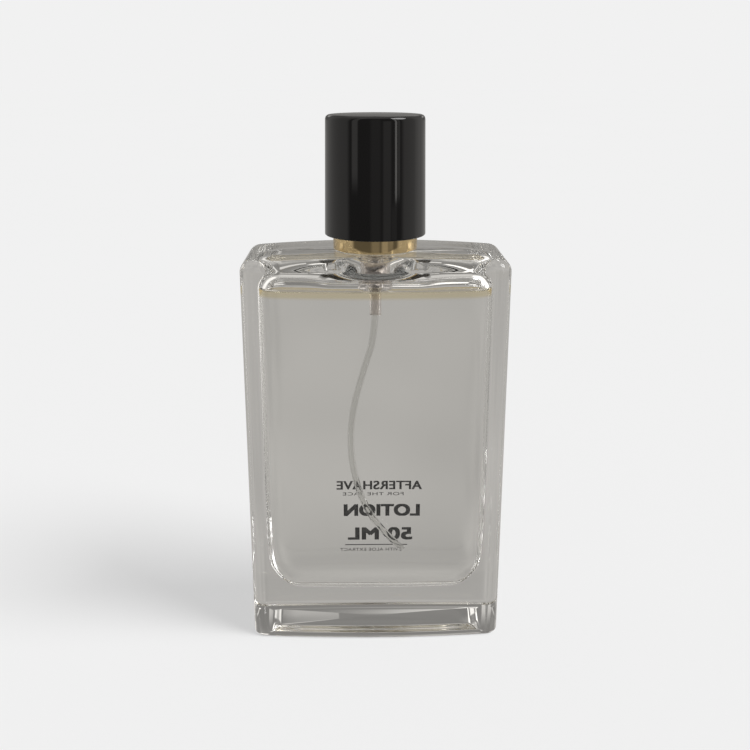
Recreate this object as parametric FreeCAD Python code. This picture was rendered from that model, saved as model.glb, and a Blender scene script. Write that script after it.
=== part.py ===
"""A 50 ml aftershave bottle with a crimped spray pump and a lift-off overcap.

Millimetres, +Z up. The origin is the middle of the base, on the surface the bottle stands on. X runs
along the wide faces, and the printed front and the spray nozzle face +Y.
"""

import FreeCAD, Part
import math
import os

Vec = FreeCAD.Vector
UP = Vec(0, 0, 1)
TOUCH = 1e-4
CUT_OVER = 1.0  # how far a cutting shape reaches past the face it cuts

# ---- Fits, all radial or per side ------------------------------------------------------------------
PRESS_FIT = 0.01
SNUG_GAP = 0.02  # between pieces that only touch
SLIDE_FIT = 0.03

# ---- Bottle, outside -------------------------------------------------------------------------------
BODY_WIDTH = 55.5
BODY_DEPTH = 25.3
FACE_BULGE = 1.35  # how far the wide faces bow out at their middle
PLAN_CORNER = 3.0
BODY_HEIGHT = 86.1  # at the two ends of the shoulder
SHOULDER_RISE = 0.9  # the shoulder arches up by this much at its middle
SHOULDER_FILLET = 2.5
BASE_FILLET = 0.8
PUSH_UP_INSET = 4.0  # width of the flat ring that the bottle stands on
PUSH_UP_SLOPE = 2.5
PUSH_UP_DEPTH = 1.0

# ---- Bottle, inside --------------------------------------------------------------------------------
SIDE_WALL = 3.35
FACE_WALL = 4.1
BASE_WALL = 9.3
SHOULDER_WALL = 3.6
CAVITY_BULGE = 1.9
CAVITY_CORNER = 5.5
FLOOR_FLAT = 0.65  # half depth of the floor's flat middle
FLOOR_ROUND_UP = 9.0
ROOF_FLAT = 2.55  # half depth of the roof's flat middle
ROOF_ROUND_UP = 4.3
CAVITY_TAPER = 0.8  # the walls thicken by this much towards the base
TAPER_HEIGHT = 30.0
SECTIONS_PER_ROUND = 6
HEADSPACE = 4.6  # height of the air between the liquid and the roof
LIQUID_GAP = 0.02

# ---- Neck, a 15 mm crimp finish --------------------------------------------------------------------
NECK_HEIGHT = 6.2
NECK_RADIUS = 6.5
NECK_FLARE = 1.2
BEAD_RADIUS = 7.4
BEAD_HEIGHT = 2.4
BEAD_UNDERCUT = 0.8
LIP_FILLET = 0.4
BORE_RADIUS = 4.9

# ---- Printed front ---------------------------------------------------------------------------------
INK_THICKNESS = 0.04
INK_GAP_SHARE = 0.22  # share of each letter's pitch that stays bare
PRINT_LINES = (
    {"words": "AFTERSHAVE", "middle": 1.0, "width": 19.6, "low": 29.2, "height": 2.2},
    {"words": "FOR THE FACE", "middle": -0.4, "width": 14.0, "low": 27.7, "height": 0.8},
    {"words": "LOTION", "middle": 1.6, "width": 17.6, "low": 22.4, "height": 3.1},
    {"words": "50 ML", "middle": 1.2, "width": 15.0, "low": 16.2, "height": 3.3},
    {"words": "-", "middle": 0.3, "width": 14.5, "low": 14.8, "height": 0.22},
    {"words": "WITH ALOE EXTRACT", "middle": -1.0, "width": 14.2, "low": 13.2, "height": 0.8},
)

# ---- Crimp ferrule, gasket, collar -----------------------------------------------------------------
GASKET_THICKNESS = 0.8
FERRULE_SHEET = 0.4
FERRULE_GAP = 0.03
FERRULE_CURL = 0.5  # how far the crimped edge turns in under the bead
COLLAR_SHEET = 0.35
COLLAR_LIFT = 0.1  # gap between the collar and the shoulder
COLLAR_STAND = 1.6  # the collar's top above the ferrule
COLLAR_OPENING_GAP = 0.5  # all round the actuator
COLLAR_EDGE = 0.25
LINER_WALL = 0.63
LINER_LIFT = 0.4

# ---- Pump housing ----------------------------------------------------------------------------------
HOUSING_RADIUS = 3.65
HOUSING_BOTTOM = 14.2  # depth of the wide part below the flange
HOUSING_CONE = 1.5
FLANGE_GAP = 0.23  # inside the ferrule
FLANGE_THICKNESS = 1.0
TOWER_RADIUS = 4.2
TOWER_HEIGHT = 2.2
TOWER_WALL = 1.0
CHAMBER_RADIUS = 2.85
NIPPLE_RADIUS = 1.23
NIPPLE_LENGTH = 4.9
TUBE_STOP = 0.1  # from the top of the dip tube to the foot of the cone
INLET_RADIUS = 0.55
INLET_LENGTH = 1.4
WELL_RADIUS = 1.45
KEEPER_COUNT = 3
KEEPER_HEIGHT = 0.4
KEEPER_WIDTH = 0.5
KEEPER_REACH = 0.6  # over the ball's well
KEEPER_ROOT = 0.4  # let into the wall of the well

# ---- Pump, moving parts ----------------------------------------------------------------------------
STROKE = 3.8
PRESS_GAP = 0.3  # what is left under the actuator at the end of its stroke
BALL_RADIUS = 1.1
BALL_LIFT = 0.5
BALL_STOP_GAP = 0.082  # from the lifted ball to its keepers
STEM_RADIUS = 1.6
STEM_BORE = 0.8
STEM_FLANGE_RADIUS = 2.5
STEM_FLANGE_THICKNESS = 0.7
STEM_SOCKET_DEPTH = 2.0
STEM_STOP_GAP = 0.1
TURRET_PLUG_LENGTH = 3.0
TURRET_CAP = 0.6
TURRET_FIT = 0.08
NEEDLE_POST_RADIUS = 1.2
NEEDLE_ROD_RADIUS = 0.9
NEEDLE_ROD_LENGTH = 2.0
NEEDLE_FLANGE_RADIUS = 2.45
NEEDLE_FLANGE_THICKNESS = 0.6
NEEDLE_GROOVES = 3
NEEDLE_GROOVE_WIDTH = 0.5
NEEDLE_GROOVE_DEPTH = 0.35
PISTON_HEIGHT = 2.45
PISTON_LIP = 0.6
PISTON_WAIST = 0.32
PISTON_BORE_GAP = 0.05
PISTON_SEAT_GAP = 0.05
TRIM_SPRING_LENGTH = 1.4  # the small spring that holds the piston on its seat
TRIM_SPRING_RADIUS = 1.9
TRIM_SPRING_WIRE = 0.3
TRIM_SPRING_COILS = 2.5
MAIN_SPRING_WIRE = 0.42
MAIN_SPRING_COILS = 5
SPRING_SIDE_GAP = 0.2

# ---- Dip tube --------------------------------------------------------------------------------------
TUBE_RADIUS = 0.75
TUBE_BORE = 0.45
# The tube's bends: shares of the cavity's half width, of its half depth, and of the height between the
# cavity's floor and the top of the nipple's socket.
TUBE_ROUTE = (
    (0.0, 0.0, 1.0),
    (0.0, 0.0, 0.869),
    (-0.105, 0.19, 0.747),
    (-0.201, 0.34, 0.617),
    (-0.230, 0.49, 0.489),
    (-0.191, 0.62, 0.366),
    (-0.090, 0.72, 0.250),
    (0.090, 0.80, 0.152),
    (0.258, 0.80, 0.094),
)
BEND_SHARE = 0.45  # how much of the shorter run beside it each bend takes

# ---- Actuator --------------------------------------------------------------------------------------
ACTUATOR_HEIGHT = 8.8
ACTUATOR_RADIUS = 6.6
ACTUATOR_SHEET = 0.38
ACTUATOR_EDGE = 0.7
HOLLOW_GAP = 0.4
STEM_GRIP = 3.0
NOZZLE_RADIUS = 1.9
NOZZLE_DEPTH = 3.6
NOZZLE_CUP_RADIUS = 1.1
NOZZLE_FACE = 0.6
NOZZLE_DROP = 2.9  # from the actuator's top to the middle of the nozzle
NOZZLE_WINDOW_GAP = 0.2
NOZZLE_RECESS = 0.1
ORIFICE_RADIUS = 0.15
CHANNEL_RADIUS = 0.5

# ---- Overcap ---------------------------------------------------------------------------------------
CAP_LIFT = 3.0  # gap between the shoulder and the cap
CAP_TAPER = 0.375  # the cap is this much smaller in radius at its top
CAP_WALL = 0.85
CAP_TOP_WALL = 1.6
CAP_HEADROOM = 4.4  # free height over the actuator
CAP_TOP_EDGE = 1.1
CAP_BOTTOM_EDGE = 0.25
CAP_INNER_EDGE = 0.5
INSERT_INSET = 0.3
INSERT_WALL = 0.655  # at the cap's lower edge
INSERT_GRIP_GAP = 0.2
INSERT_STOP_REACH = 0.45  # how far the sleeve's stop reaches in over the collar
INSERT_THROAT_LENGTH = 6.4
INSERT_STOP_GAP = 0.06
RIB_COUNT = 8
RIB_GAP = 0.05
RIB_WIDTH = 0.6
RIB_END_GAP = 0.5

# ---- Heights and radii worked out from the sizes above ---------------------------------------------
shoulder_top = BODY_HEIGHT + SHOULDER_RISE
neck_top = shoulder_top + NECK_HEIGHT
gasket_top = neck_top + GASKET_THICKNESS
flange_top = gasket_top + FLANGE_THICKNESS
ferrule_top = flange_top + FERRULE_SHEET
ferrule_inner = BEAD_RADIUS + FERRULE_GAP
flange_radius = ferrule_inner - FLANGE_GAP
tower_top = flange_top + TOWER_HEIGHT
turret_top = tower_top + TURRET_CAP
collar_bottom = shoulder_top + COLLAR_LIFT
collar_top = ferrule_top + COLLAR_STAND
collar_opening = ACTUATOR_RADIUS + COLLAR_OPENING_GAP
liner_inner = ferrule_inner + FERRULE_SHEET + SNUG_GAP
liner_outer = liner_inner + LINER_WALL
collar_inner = liner_outer + SNUG_GAP
collar_radius = collar_inner + COLLAR_SHEET

cavity_half_width = BODY_WIDTH / 2 - SIDE_WALL
cavity_half_depth = BODY_DEPTH / 2 - FACE_WALL
cavity_roof = shoulder_top - SHOULDER_WALL
floor_round_in = cavity_half_depth - CAVITY_TAPER / 2 - FLOOR_FLAT
roof_round_in = cavity_half_depth - ROOF_FLAT
liquid_level = cavity_roof - HEADSPACE

housing_bottom = gasket_top - HOUSING_BOTTOM
nipple_top = housing_bottom - HOUSING_CONE
nipple_bottom = nipple_top - NIPPLE_LENGTH
socket_top = nipple_top - TUBE_STOP
inlet_top = socket_top + INLET_LENGTH
seat_top = inlet_top + WELL_RADIUS - INLET_RADIUS
ball_centre = inlet_top - INLET_RADIUS + (BALL_RADIUS + PRESS_FIT) * math.sqrt(2)
ball_stop = ball_centre + math.sqrt(BALL_RADIUS**2 - (WELL_RADIUS - KEEPER_REACH) ** 2)
spring_ledge = ball_stop + BALL_LIFT + BALL_STOP_GAP + KEEPER_HEIGHT

turret_bottom = tower_top - TURRET_PLUG_LENGTH
stem_flange_bottom = turret_bottom - STEM_STOP_GAP - STEM_FLANGE_THICKNESS
piston_top = stem_flange_bottom - TRIM_SPRING_LENGTH
piston_bottom = piston_top - PISTON_HEIGHT
needle_flange_top = piston_bottom - PISTON_SEAT_GAP
needle_flange_bottom = needle_flange_top - NEEDLE_FLANGE_THICKNESS

actuator_bottom = ferrule_top + PRESS_GAP + STROKE
actuator_top = actuator_bottom + ACTUATOR_HEIGHT
hollow_top = turret_top + PRESS_GAP + STROKE
stem_socket_top = hollow_top + STEM_GRIP
nozzle_height = actuator_top - NOZZLE_DROP
core_radius = ACTUATOR_RADIUS - ACTUATOR_SHEET - SNUG_GAP

cap_bottom = shoulder_top + CAP_LIFT
cap_ceiling = actuator_top + CAP_HEADROOM
cap_top = cap_ceiling + CAP_TOP_WALL
grip_radius = collar_radius + INSERT_GRIP_GAP
cap_radius = grip_radius + INSERT_WALL + SNUG_GAP + CAP_WALL


# ---- Shape helpers ---------------------------------------------------------------------------------
def turned(outline):
    """A solid turned about the Z axis from a closed outline of (radius, height) points."""
    corners = [Vec(radius, 0, height) for radius, height in outline]
    face = Part.Face(Part.makePolygon(corners + corners[:1]))
    return face.revolve(Vec(), UP, 360)


def drum(radius, low, high):
    """An upright cylinder on the Z axis between two heights."""
    return Part.makeCylinder(radius, high - low, Vec(0, 0, low))


def ring(outer, inner, low, high):
    """An upright ring on the Z axis between two heights."""
    return drum(outer, low, high).cut(drum(inner, low, high))


def round_rims(shape, radius, rims):
    """Round the circular edges that lie at the (radius, height) pairs in rims."""
    chosen = []
    for edge in shape.Edges:
        if not isinstance(edge.Curve, Part.Circle):
            continue
        for rim_radius, rim_height in rims:
            same_radius = abs(edge.Curve.Radius - rim_radius) < TOUCH
            same_height = abs(edge.Curve.Center.z - rim_height) < TOUCH
            if same_radius and same_height:
                chosen.append(edge)
    return shape.makeFillet(radius, chosen)


def around(shape, count):
    """Copies of a shape spaced evenly around the Z axis."""
    copies = []
    for index in range(count):
        copy = shape.copy()
        copy.rotate(Vec(), UP, 360 * index / count)
        copies.append(copy)
    return copies


def plan_outline(half_width, half_depth, bulge, corner, height):
    """The bottle seen from above: straight ends, bowed faces and round corners, all tangent."""
    bow = (half_width**2 + bulge**2) / (2 * bulge)
    bow_offset = bow - half_depth
    corner_x = half_width - corner
    corner_y = math.sqrt((bow - corner) ** 2 - corner_x**2) - bow_offset
    lean = math.atan2(corner_x, corner_y + bow_offset)
    middle = (math.pi / 2 - lean) / 2
    meet_x = bow * math.sin(lean)
    meet_y = bow * math.cos(lean) - bow_offset
    middle_x = corner_x + corner * math.cos(middle)
    middle_y = corner_y + corner * math.sin(middle)

    right_low = Vec(half_width, -corner_y, height)
    right_high = Vec(half_width, corner_y, height)
    right_middle = Vec(middle_x, middle_y, height)
    right_meet = Vec(meet_x, meet_y, height)
    left_meet = Vec(-meet_x, meet_y, height)
    left_middle = Vec(-middle_x, middle_y, height)
    left_high = Vec(-half_width, corner_y, height)
    half = [
        Part.LineSegment(right_low, right_high).toShape(),
        Part.Arc(right_high, right_middle, right_meet).toShape(),
        Part.Arc(right_meet, Vec(0, half_depth, height), left_meet).toShape(),
        Part.Arc(left_meet, left_middle, left_high).toShape(),
    ]
    other_half = []
    for edge in half:
        copy = edge.copy()
        copy.rotate(Vec(0, 0, height), UP, 180)
        other_half.append(copy)
    return Part.Wire(half + other_half)


def bent_tube(points, radius):
    """A round bar along straight runs joined by tangent arcs, and the length of its middle line."""
    edges = []
    start = points[0]
    for before, here, after in zip(points, points[1:], points[2:]):
        back = (before - here).normalize()
        ahead = (after - here).normalize()
        half_turn = (math.pi - back.getAngle(ahead)) / 2
        reach = BEND_SHARE * min((before - here).Length, (after - here).Length)
        bend = reach / math.tan(half_turn)
        inward = (back + ahead).normalize()
        middle = here + inward * (bend / math.cos(half_turn) - bend)
        arc_start = here + back * reach
        arc_end = here + ahead * reach
        edges.append(Part.LineSegment(start, arc_start).toShape())
        edges.append(Part.Arc(arc_start, middle, arc_end).toShape())
        print("dip tube bend radius %.1f mm" % bend)
        start = arc_end
    edges.append(Part.LineSegment(start, points[-1]).toShape())
    path = Part.Wire(edges)
    first_way = points[1] - points[0]
    section = Part.Wire(Part.Circle(points[0], first_way, radius).toShape())
    return path.makePipeShell([section], True, False), path.Length


def coil(radius, wire, turns, low, high):
    """A compression spring that stands between two heights."""
    rise = high - low - wire - 2 * SNUG_GAP
    start = low + SNUG_GAP + wire / 2
    path = Part.makeHelix(rise / turns, rise, radius)
    path.translate(Vec(0, 0, start))
    section = Part.Wire(Part.Circle(Vec(radius, 0, start), Vec(0, 1, 0), wire / 2).toShape())
    return Part.Wire(path.Edges).makePipeShell([section], True, True)


# ---- Bottle ----------------------------------------------------------------------------------------
def body_blank():
    """The solid outside of the bottle, without its neck."""
    outline = plan_outline(BODY_WIDTH / 2, BODY_DEPTH / 2, FACE_BULGE, PLAN_CORNER, 0)
    prism = Part.Face(outline).extrude(UP * (shoulder_top + CUT_OVER))
    arch = ((BODY_WIDTH / 2) ** 2 + SHOULDER_RISE**2) / (2 * SHOULDER_RISE)
    arch_start = Vec(0, -BODY_DEPTH, shoulder_top - arch)
    blank = prism.common(Part.makeCylinder(arch, 2 * BODY_DEPTH, arch_start, Vec(0, 1, 0)))
    top_edges = [edge for edge in blank.Edges if edge.BoundBox.ZMin > BODY_HEIGHT / 2]
    blank = blank.makeFillet(SHOULDER_FILLET, top_edges)
    base_edges = [edge for edge in blank.Edges if edge.BoundBox.ZMax < TOUCH]
    return blank.makeFillet(BASE_FILLET, base_edges)


def cavity_section(height, inset, shrink):
    """One level outline of the space inside, drawn in from the straight walls by inset."""
    above_floor = height - BASE_WALL
    taper = CAVITY_TAPER * max(0, 1 - above_floor / TAPER_HEIGHT) ** 2
    half_depth = cavity_half_depth - inset - taper / 2
    share = half_depth / cavity_half_depth
    half_width = cavity_half_width - inset - taper
    return plan_outline(
        half_width - shrink, half_depth - shrink, CAVITY_BULGE * share, CAVITY_CORNER * share, height
    )


def cavity(shrink):
    """The space inside the bottle below its neck, made smaller all round by shrink."""
    sections = []
    steps = [index / SECTIONS_PER_ROUND for index in range(SECTIONS_PER_ROUND + 1)]
    for step in steps:
        turn = math.radians(90 * step)
        height = BASE_WALL + shrink + FLOOR_ROUND_UP * (1 - math.cos(turn))
        sections.append(cavity_section(height, floor_round_in * (1 - math.sin(turn)), shrink))
    low = BASE_WALL + FLOOR_ROUND_UP
    high = cavity_roof - ROOF_ROUND_UP
    for step in steps[1:-1]:
        sections.append(cavity_section(low + (high - low) * step, 0, shrink))
    for step in steps:
        turn = math.radians(90 * step)
        height = high - shrink + ROOF_ROUND_UP * math.sin(turn)
        sections.append(cavity_section(height, roof_round_in * (1 - math.cos(turn)), shrink))
    return Part.makeLoft(sections, True, False)


def neck_blank():
    """The neck with its crimp bead, rooted in the shoulder."""
    bead_low = neck_top - BEAD_HEIGHT
    root = shoulder_top - NECK_FLARE
    neck = turned(
        [
            (0, root),
            (NECK_RADIUS + NECK_FLARE, root),
            (NECK_RADIUS + NECK_FLARE, shoulder_top - NECK_FLARE / 3),
            (NECK_RADIUS, shoulder_top + NECK_FLARE * 2 / 3),
            (NECK_RADIUS, bead_low - BEAD_UNDERCUT),
            (BEAD_RADIUS, bead_low),
            (BEAD_RADIUS, neck_top),
            (0, neck_top),
        ]
    )
    return round_rims(neck, LIP_FILLET, [(BEAD_RADIUS, neck_top)])


def push_up():
    """The shallow hollow under the base."""
    outlines = []
    for inset, height in ((PUSH_UP_INSET, 0), (PUSH_UP_INSET + PUSH_UP_SLOPE, PUSH_UP_DEPTH)):
        half_width = BODY_WIDTH / 2 - inset
        outlines.append(
            plan_outline(half_width, BODY_DEPTH / 2 - inset, FACE_BULGE, PLAN_CORNER, height)
        )
    return Part.makeLoft(outlines, True, True)


def glass_bottle():
    """Heavy glass body with its cavity, bore and push-up."""
    glass = body_blank().fuse(neck_blank()).removeSplitter()
    bore = drum(BORE_RADIUS, cavity_roof - ROOF_ROUND_UP / 2, neck_top + CUT_OVER)
    return glass.cut(cavity(0)).cut(bore).cut(push_up())


def aftershave_liquid():
    """The liquid up to its level, clear of the glass, the pump and the dip tube."""
    filled = cavity(LIQUID_GAP)
    above = Part.makeBox(BODY_WIDTH, BODY_DEPTH, BODY_HEIGHT)
    above.translate(Vec(-BODY_WIDTH / 2, -BODY_DEPTH / 2, liquid_level))
    tube_room, _ = bent_tube(tube_points(), TUBE_RADIUS + LIQUID_GAP)
    pump_room = drum(NIPPLE_RADIUS + LIQUID_GAP, nipple_bottom - LIQUID_GAP, nipple_top)
    cone_room = turned(
        [
            (0, nipple_top - LIQUID_GAP),
            (NIPPLE_RADIUS + LIQUID_GAP, nipple_top - LIQUID_GAP),
            (HOUSING_RADIUS + LIQUID_GAP, housing_bottom - LIQUID_GAP),
            (0, housing_bottom - LIQUID_GAP),
        ]
    )
    return filled.cut(above).cut(tube_room).cut(pump_room).cut(cone_room)


def ink_line(words, middle, width, low, height):
    """One printed line as a row of blocks, one for each letter, that cut its ink pads out."""
    pitch = width / len(words)
    bare = pitch * INK_GAP_SHARE if len(words) > 1 else 0
    blocks = []
    for index, letter in enumerate(words):
        if letter != " ":
            start = middle - width / 2 + index * pitch + bare / 2
            blocks.append(Part.makeBox(pitch - bare, BODY_DEPTH, height, Vec(start, 0, low)))
    return blocks


def front_print():
    """The print on the front, as a thin ink pad on the bowed face for each letter."""
    half_width = BODY_WIDTH / 2
    bow = (half_width**2 + FACE_BULGE**2) / (2 * FACE_BULGE)
    middle = Vec(0, BODY_DEPTH / 2 - bow, 0)
    ink = Part.makeCylinder(bow + INK_THICKNESS, BODY_HEIGHT, middle)
    ink = ink.cut(Part.makeCylinder(bow, BODY_HEIGHT, middle))
    blocks = []
    for line in PRINT_LINES:
        blocks.extend(ink_line(**line))
    return Part.Compound([ink.common(block) for block in blocks])


# ---- Crimp and collar ------------------------------------------------------------------------------
def neck_gasket():
    """Soft ring squeezed between the glass lip and the pump's flange."""
    return ring(flange_radius, HOUSING_RADIUS + SNUG_GAP, neck_top, gasket_top)


def crimp_ferrule():
    """Thin metal ferrule over the flange, its lower edge turned in under the bead."""
    bead_low = neck_top - BEAD_HEIGHT
    slope = BEAD_UNDERCUT / (BEAD_RADIUS - NECK_RADIUS)
    drop = FERRULE_CURL * slope
    inner = ferrule_inner
    outer = inner + FERRULE_SHEET
    return turned(
        [
            (TOWER_RADIUS + PRESS_FIT, flange_top),
            (inner, flange_top),
            (inner, bead_low),
            (inner - FERRULE_CURL, bead_low - drop),
            (inner - FERRULE_CURL + FERRULE_SHEET / 2, bead_low - drop - FERRULE_SHEET),
            (outer, bead_low - FERRULE_SHEET / 2),
            (outer, ferrule_top),
            (TOWER_RADIUS + PRESS_FIT, ferrule_top),
        ]
    )


def collar():
    """Polished collar that hides the ferrule."""
    shape = turned(
        [
            (collar_inner, collar_bottom),
            (collar_radius, collar_bottom),
            (collar_radius, collar_top),
            (collar_opening, collar_top),
            (collar_opening, collar_top - COLLAR_SHEET),
            (collar_inner, collar_top - COLLAR_SHEET),
        ]
    )
    return round_rims(shape, COLLAR_EDGE, [(collar_radius, collar_top)])


def collar_liner():
    """Plastic ring that holds the collar on the ferrule."""
    opening = collar_opening + SNUG_GAP
    top = collar_top - COLLAR_SHEET - SNUG_GAP
    return turned(
        [
            (liner_inner, collar_bottom + LINER_LIFT),
            (liner_outer, collar_bottom + LINER_LIFT),
            (liner_outer, top),
            (opening, top),
            (opening, ferrule_top + SNUG_GAP),
            (liner_inner, ferrule_top + SNUG_GAP),
        ]
    )


# ---- Pump ------------------------------------------------------------------------------------------
def pump_housing():
    """Pump chamber with its flange, tower, ball well and the nipple that holds the dip tube."""
    tower_bore = TOWER_RADIUS - TOWER_WALL
    housing = turned(
        [
            (NIPPLE_RADIUS, nipple_bottom),
            (NIPPLE_RADIUS, nipple_top),
            (HOUSING_RADIUS, housing_bottom),
            (HOUSING_RADIUS, gasket_top),
            (flange_radius, gasket_top),
            (flange_radius, flange_top),
            (TOWER_RADIUS, flange_top),
            (TOWER_RADIUS, tower_top),
            (tower_bore, tower_top),
            (tower_bore, turret_bottom),
            (CHAMBER_RADIUS, turret_bottom),
            (CHAMBER_RADIUS, spring_ledge),
            (WELL_RADIUS, spring_ledge),
            (WELL_RADIUS, seat_top),
            (INLET_RADIUS, inlet_top),
            (INLET_RADIUS, socket_top),
            (TUBE_RADIUS + PRESS_FIT, socket_top),
            (TUBE_RADIUS + PRESS_FIT, nipple_bottom),
        ]
    )
    keeper = Part.makeBox(KEEPER_REACH + KEEPER_ROOT, KEEPER_WIDTH, KEEPER_HEIGHT)
    keeper.translate(Vec(WELL_RADIUS - KEEPER_REACH, -KEEPER_WIDTH / 2, spring_ledge - KEEPER_HEIGHT))
    return housing.multiFuse(around(keeper, KEEPER_COUNT)).removeSplitter()


def turret():
    """Plug that closes the chamber and guides the stem."""
    plug = TOWER_RADIUS - TOWER_WALL - PRESS_FIT
    bore = STEM_RADIUS + TURRET_FIT
    return turned(
        [
            (bore, turret_bottom),
            (plug, turret_bottom),
            (plug, tower_top),
            (TOWER_RADIUS, tower_top),
            (TOWER_RADIUS, turret_top),
            (bore, turret_top),
        ]
    )


def inlet_ball():
    """Steel ball of the inlet valve, just off its 45 degree seat."""
    return Part.makeSphere(BALL_RADIUS, Vec(0, 0, ball_centre))


def main_spring():
    """Return spring between the chamber's ledge and the valve needle."""
    radius = CHAMBER_RADIUS - SPRING_SIDE_GAP - MAIN_SPRING_WIRE / 2
    return coil(radius, MAIN_SPRING_WIRE, MAIN_SPRING_COILS, spring_ledge, needle_flange_bottom)


def valve_needle():
    """Needle that carries the spring load, with grooves that lead the liquid up into the stem."""
    post_top = stem_flange_bottom + STEM_SOCKET_DEPTH - SNUG_GAP
    needle = turned(
        [
            (0, needle_flange_bottom - NEEDLE_ROD_LENGTH),
            (NEEDLE_ROD_RADIUS, needle_flange_bottom - NEEDLE_ROD_LENGTH),
            (NEEDLE_ROD_RADIUS, needle_flange_bottom),
            (NEEDLE_FLANGE_RADIUS, needle_flange_bottom),
            (NEEDLE_FLANGE_RADIUS, needle_flange_top),
            (NEEDLE_POST_RADIUS, needle_flange_top),
            (NEEDLE_POST_RADIUS, post_top),
            (0, post_top),
        ]
    )
    groove_low = needle_flange_top + PISTON_LIP
    groove = Part.makeBox(NEEDLE_POST_RADIUS, NEEDLE_GROOVE_WIDTH, post_top + CUT_OVER - groove_low)
    groove.translate(
        Vec(NEEDLE_POST_RADIUS - NEEDLE_GROOVE_DEPTH, -NEEDLE_GROOVE_WIDTH / 2, groove_low)
    )
    return needle.cut(Part.Compound(around(groove, NEEDLE_GROOVES)))


def piston():
    """Soft piston with a sealing lip at each end of its waist."""
    lip = CHAMBER_RADIUS - SLIDE_FIT
    waist = lip - PISTON_WAIST
    bore = NEEDLE_POST_RADIUS + PISTON_BORE_GAP
    return turned(
        [
            (bore, piston_bottom),
            (lip, piston_bottom),
            (lip, piston_bottom + PISTON_LIP),
            (waist, piston_bottom + PISTON_LIP + PISTON_WAIST),
            (waist, piston_top - PISTON_LIP - PISTON_WAIST),
            (lip, piston_top - PISTON_LIP),
            (lip, piston_top),
            (bore, piston_top),
        ]
    )


def precompression_spring():
    """Small spring that holds the piston on its seat until the chamber is under pressure."""
    return coil(
        TRIM_SPRING_RADIUS, TRIM_SPRING_WIRE, TRIM_SPRING_COILS, piston_top, stem_flange_bottom
    )


def pump_stem():
    """Hollow stem between the piston and the actuator."""
    socket = NEEDLE_POST_RADIUS + PRESS_FIT
    socket_end = stem_flange_bottom + STEM_SOCKET_DEPTH
    top = stem_socket_top - SNUG_GAP
    return turned(
        [
            (socket, stem_flange_bottom),
            (STEM_FLANGE_RADIUS, stem_flange_bottom),
            (STEM_FLANGE_RADIUS, stem_flange_bottom + STEM_FLANGE_THICKNESS),
            (STEM_RADIUS, stem_flange_bottom + STEM_FLANGE_THICKNESS),
            (STEM_RADIUS, top),
            (STEM_BORE, top),
            (STEM_BORE, socket_end),
            (socket, socket_end),
        ]
    )


def tube_points():
    """The bends of the dip tube, from the top of its socket down to the back of the floor."""
    points = []
    for width_share, depth_share, height_share in TUBE_ROUTE:
        height = BASE_WALL + (socket_top - BASE_WALL) * height_share
        points.append(Vec(cavity_half_width * width_share, cavity_half_depth * depth_share, height))
    return points


def dip_tube():
    """Soft tube from the nipple down to the floor of the bottle."""
    outside, length = bent_tube(tube_points(), TUBE_RADIUS)
    bore, _ = bent_tube(tube_points(), TUBE_BORE)
    tube = outside.cut(bore)
    expected = math.pi * (TUBE_RADIUS**2 - TUBE_BORE**2) * length
    print("dip tube volume %.3f mm3, section times length %.3f mm3" % (tube.Volume, expected))
    return tube


# ---- Actuator --------------------------------------------------------------------------------------
def nozzle_drum(radius, start, end):
    """A cylinder along +Y at the nozzle's height, between two distances from the axis."""
    return Part.makeCylinder(radius, end - start, Vec(0, start, nozzle_height), Vec(0, 1, 0))


def actuator_core():
    """Plastic body of the push button, with the stem's socket and the way to the nozzle."""
    top = actuator_top - ACTUATOR_SHEET - SNUG_GAP
    socket = STEM_RADIUS + SLIDE_FIT
    hollow = TOWER_RADIUS + HOLLOW_GAP
    core = turned(
        [
            (0, stem_socket_top),
            (socket, stem_socket_top),
            (socket, hollow_top),
            (hollow, hollow_top),
            (hollow, actuator_bottom),
            (core_radius, actuator_bottom),
            (core_radius, top),
            (0, top),
        ]
    )
    riser = drum(STEM_BORE, stem_socket_top - CUT_OVER, nozzle_height + CHANNEL_RADIUS)
    channel = nozzle_drum(CHANNEL_RADIUS, 0, ACTUATOR_RADIUS)
    pocket = nozzle_drum(NOZZLE_RADIUS + PRESS_FIT, ACTUATOR_RADIUS - NOZZLE_DEPTH, ACTUATOR_RADIUS)
    return core.cut(riser).cut(channel).cut(pocket)


def actuator_shell():
    """Thin metal shell over the push button, with a window for the nozzle."""
    inner = ACTUATOR_RADIUS - ACTUATOR_SHEET
    shell = drum(ACTUATOR_RADIUS, actuator_bottom, actuator_top)
    shell = round_rims(shell, ACTUATOR_EDGE, [(ACTUATOR_RADIUS, actuator_top)])
    room = drum(inner, actuator_bottom, actuator_top - ACTUATOR_SHEET)
    window = nozzle_drum(NOZZLE_RADIUS + NOZZLE_WINDOW_GAP, 0, ACTUATOR_RADIUS + CUT_OVER)
    return shell.cut(room).cut(window)


def nozzle_insert():
    """Spray insert: a small cup with the orifice in its face."""
    back = ACTUATOR_RADIUS - NOZZLE_DEPTH + PRESS_FIT
    front = ACTUATOR_RADIUS - NOZZLE_RECESS
    cup = nozzle_drum(NOZZLE_CUP_RADIUS, back, front - NOZZLE_FACE)
    orifice = nozzle_drum(ORIFICE_RADIUS, back, front)
    return nozzle_drum(NOZZLE_RADIUS, back, front).cut(cup).cut(orifice)


# ---- Overcap ---------------------------------------------------------------------------------------
def cap_radius_at(height):
    """The cap's outer radius at a height, on its slight taper."""
    return cap_radius - CAP_TAPER * (height - cap_bottom) / (cap_top - cap_bottom)


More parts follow.
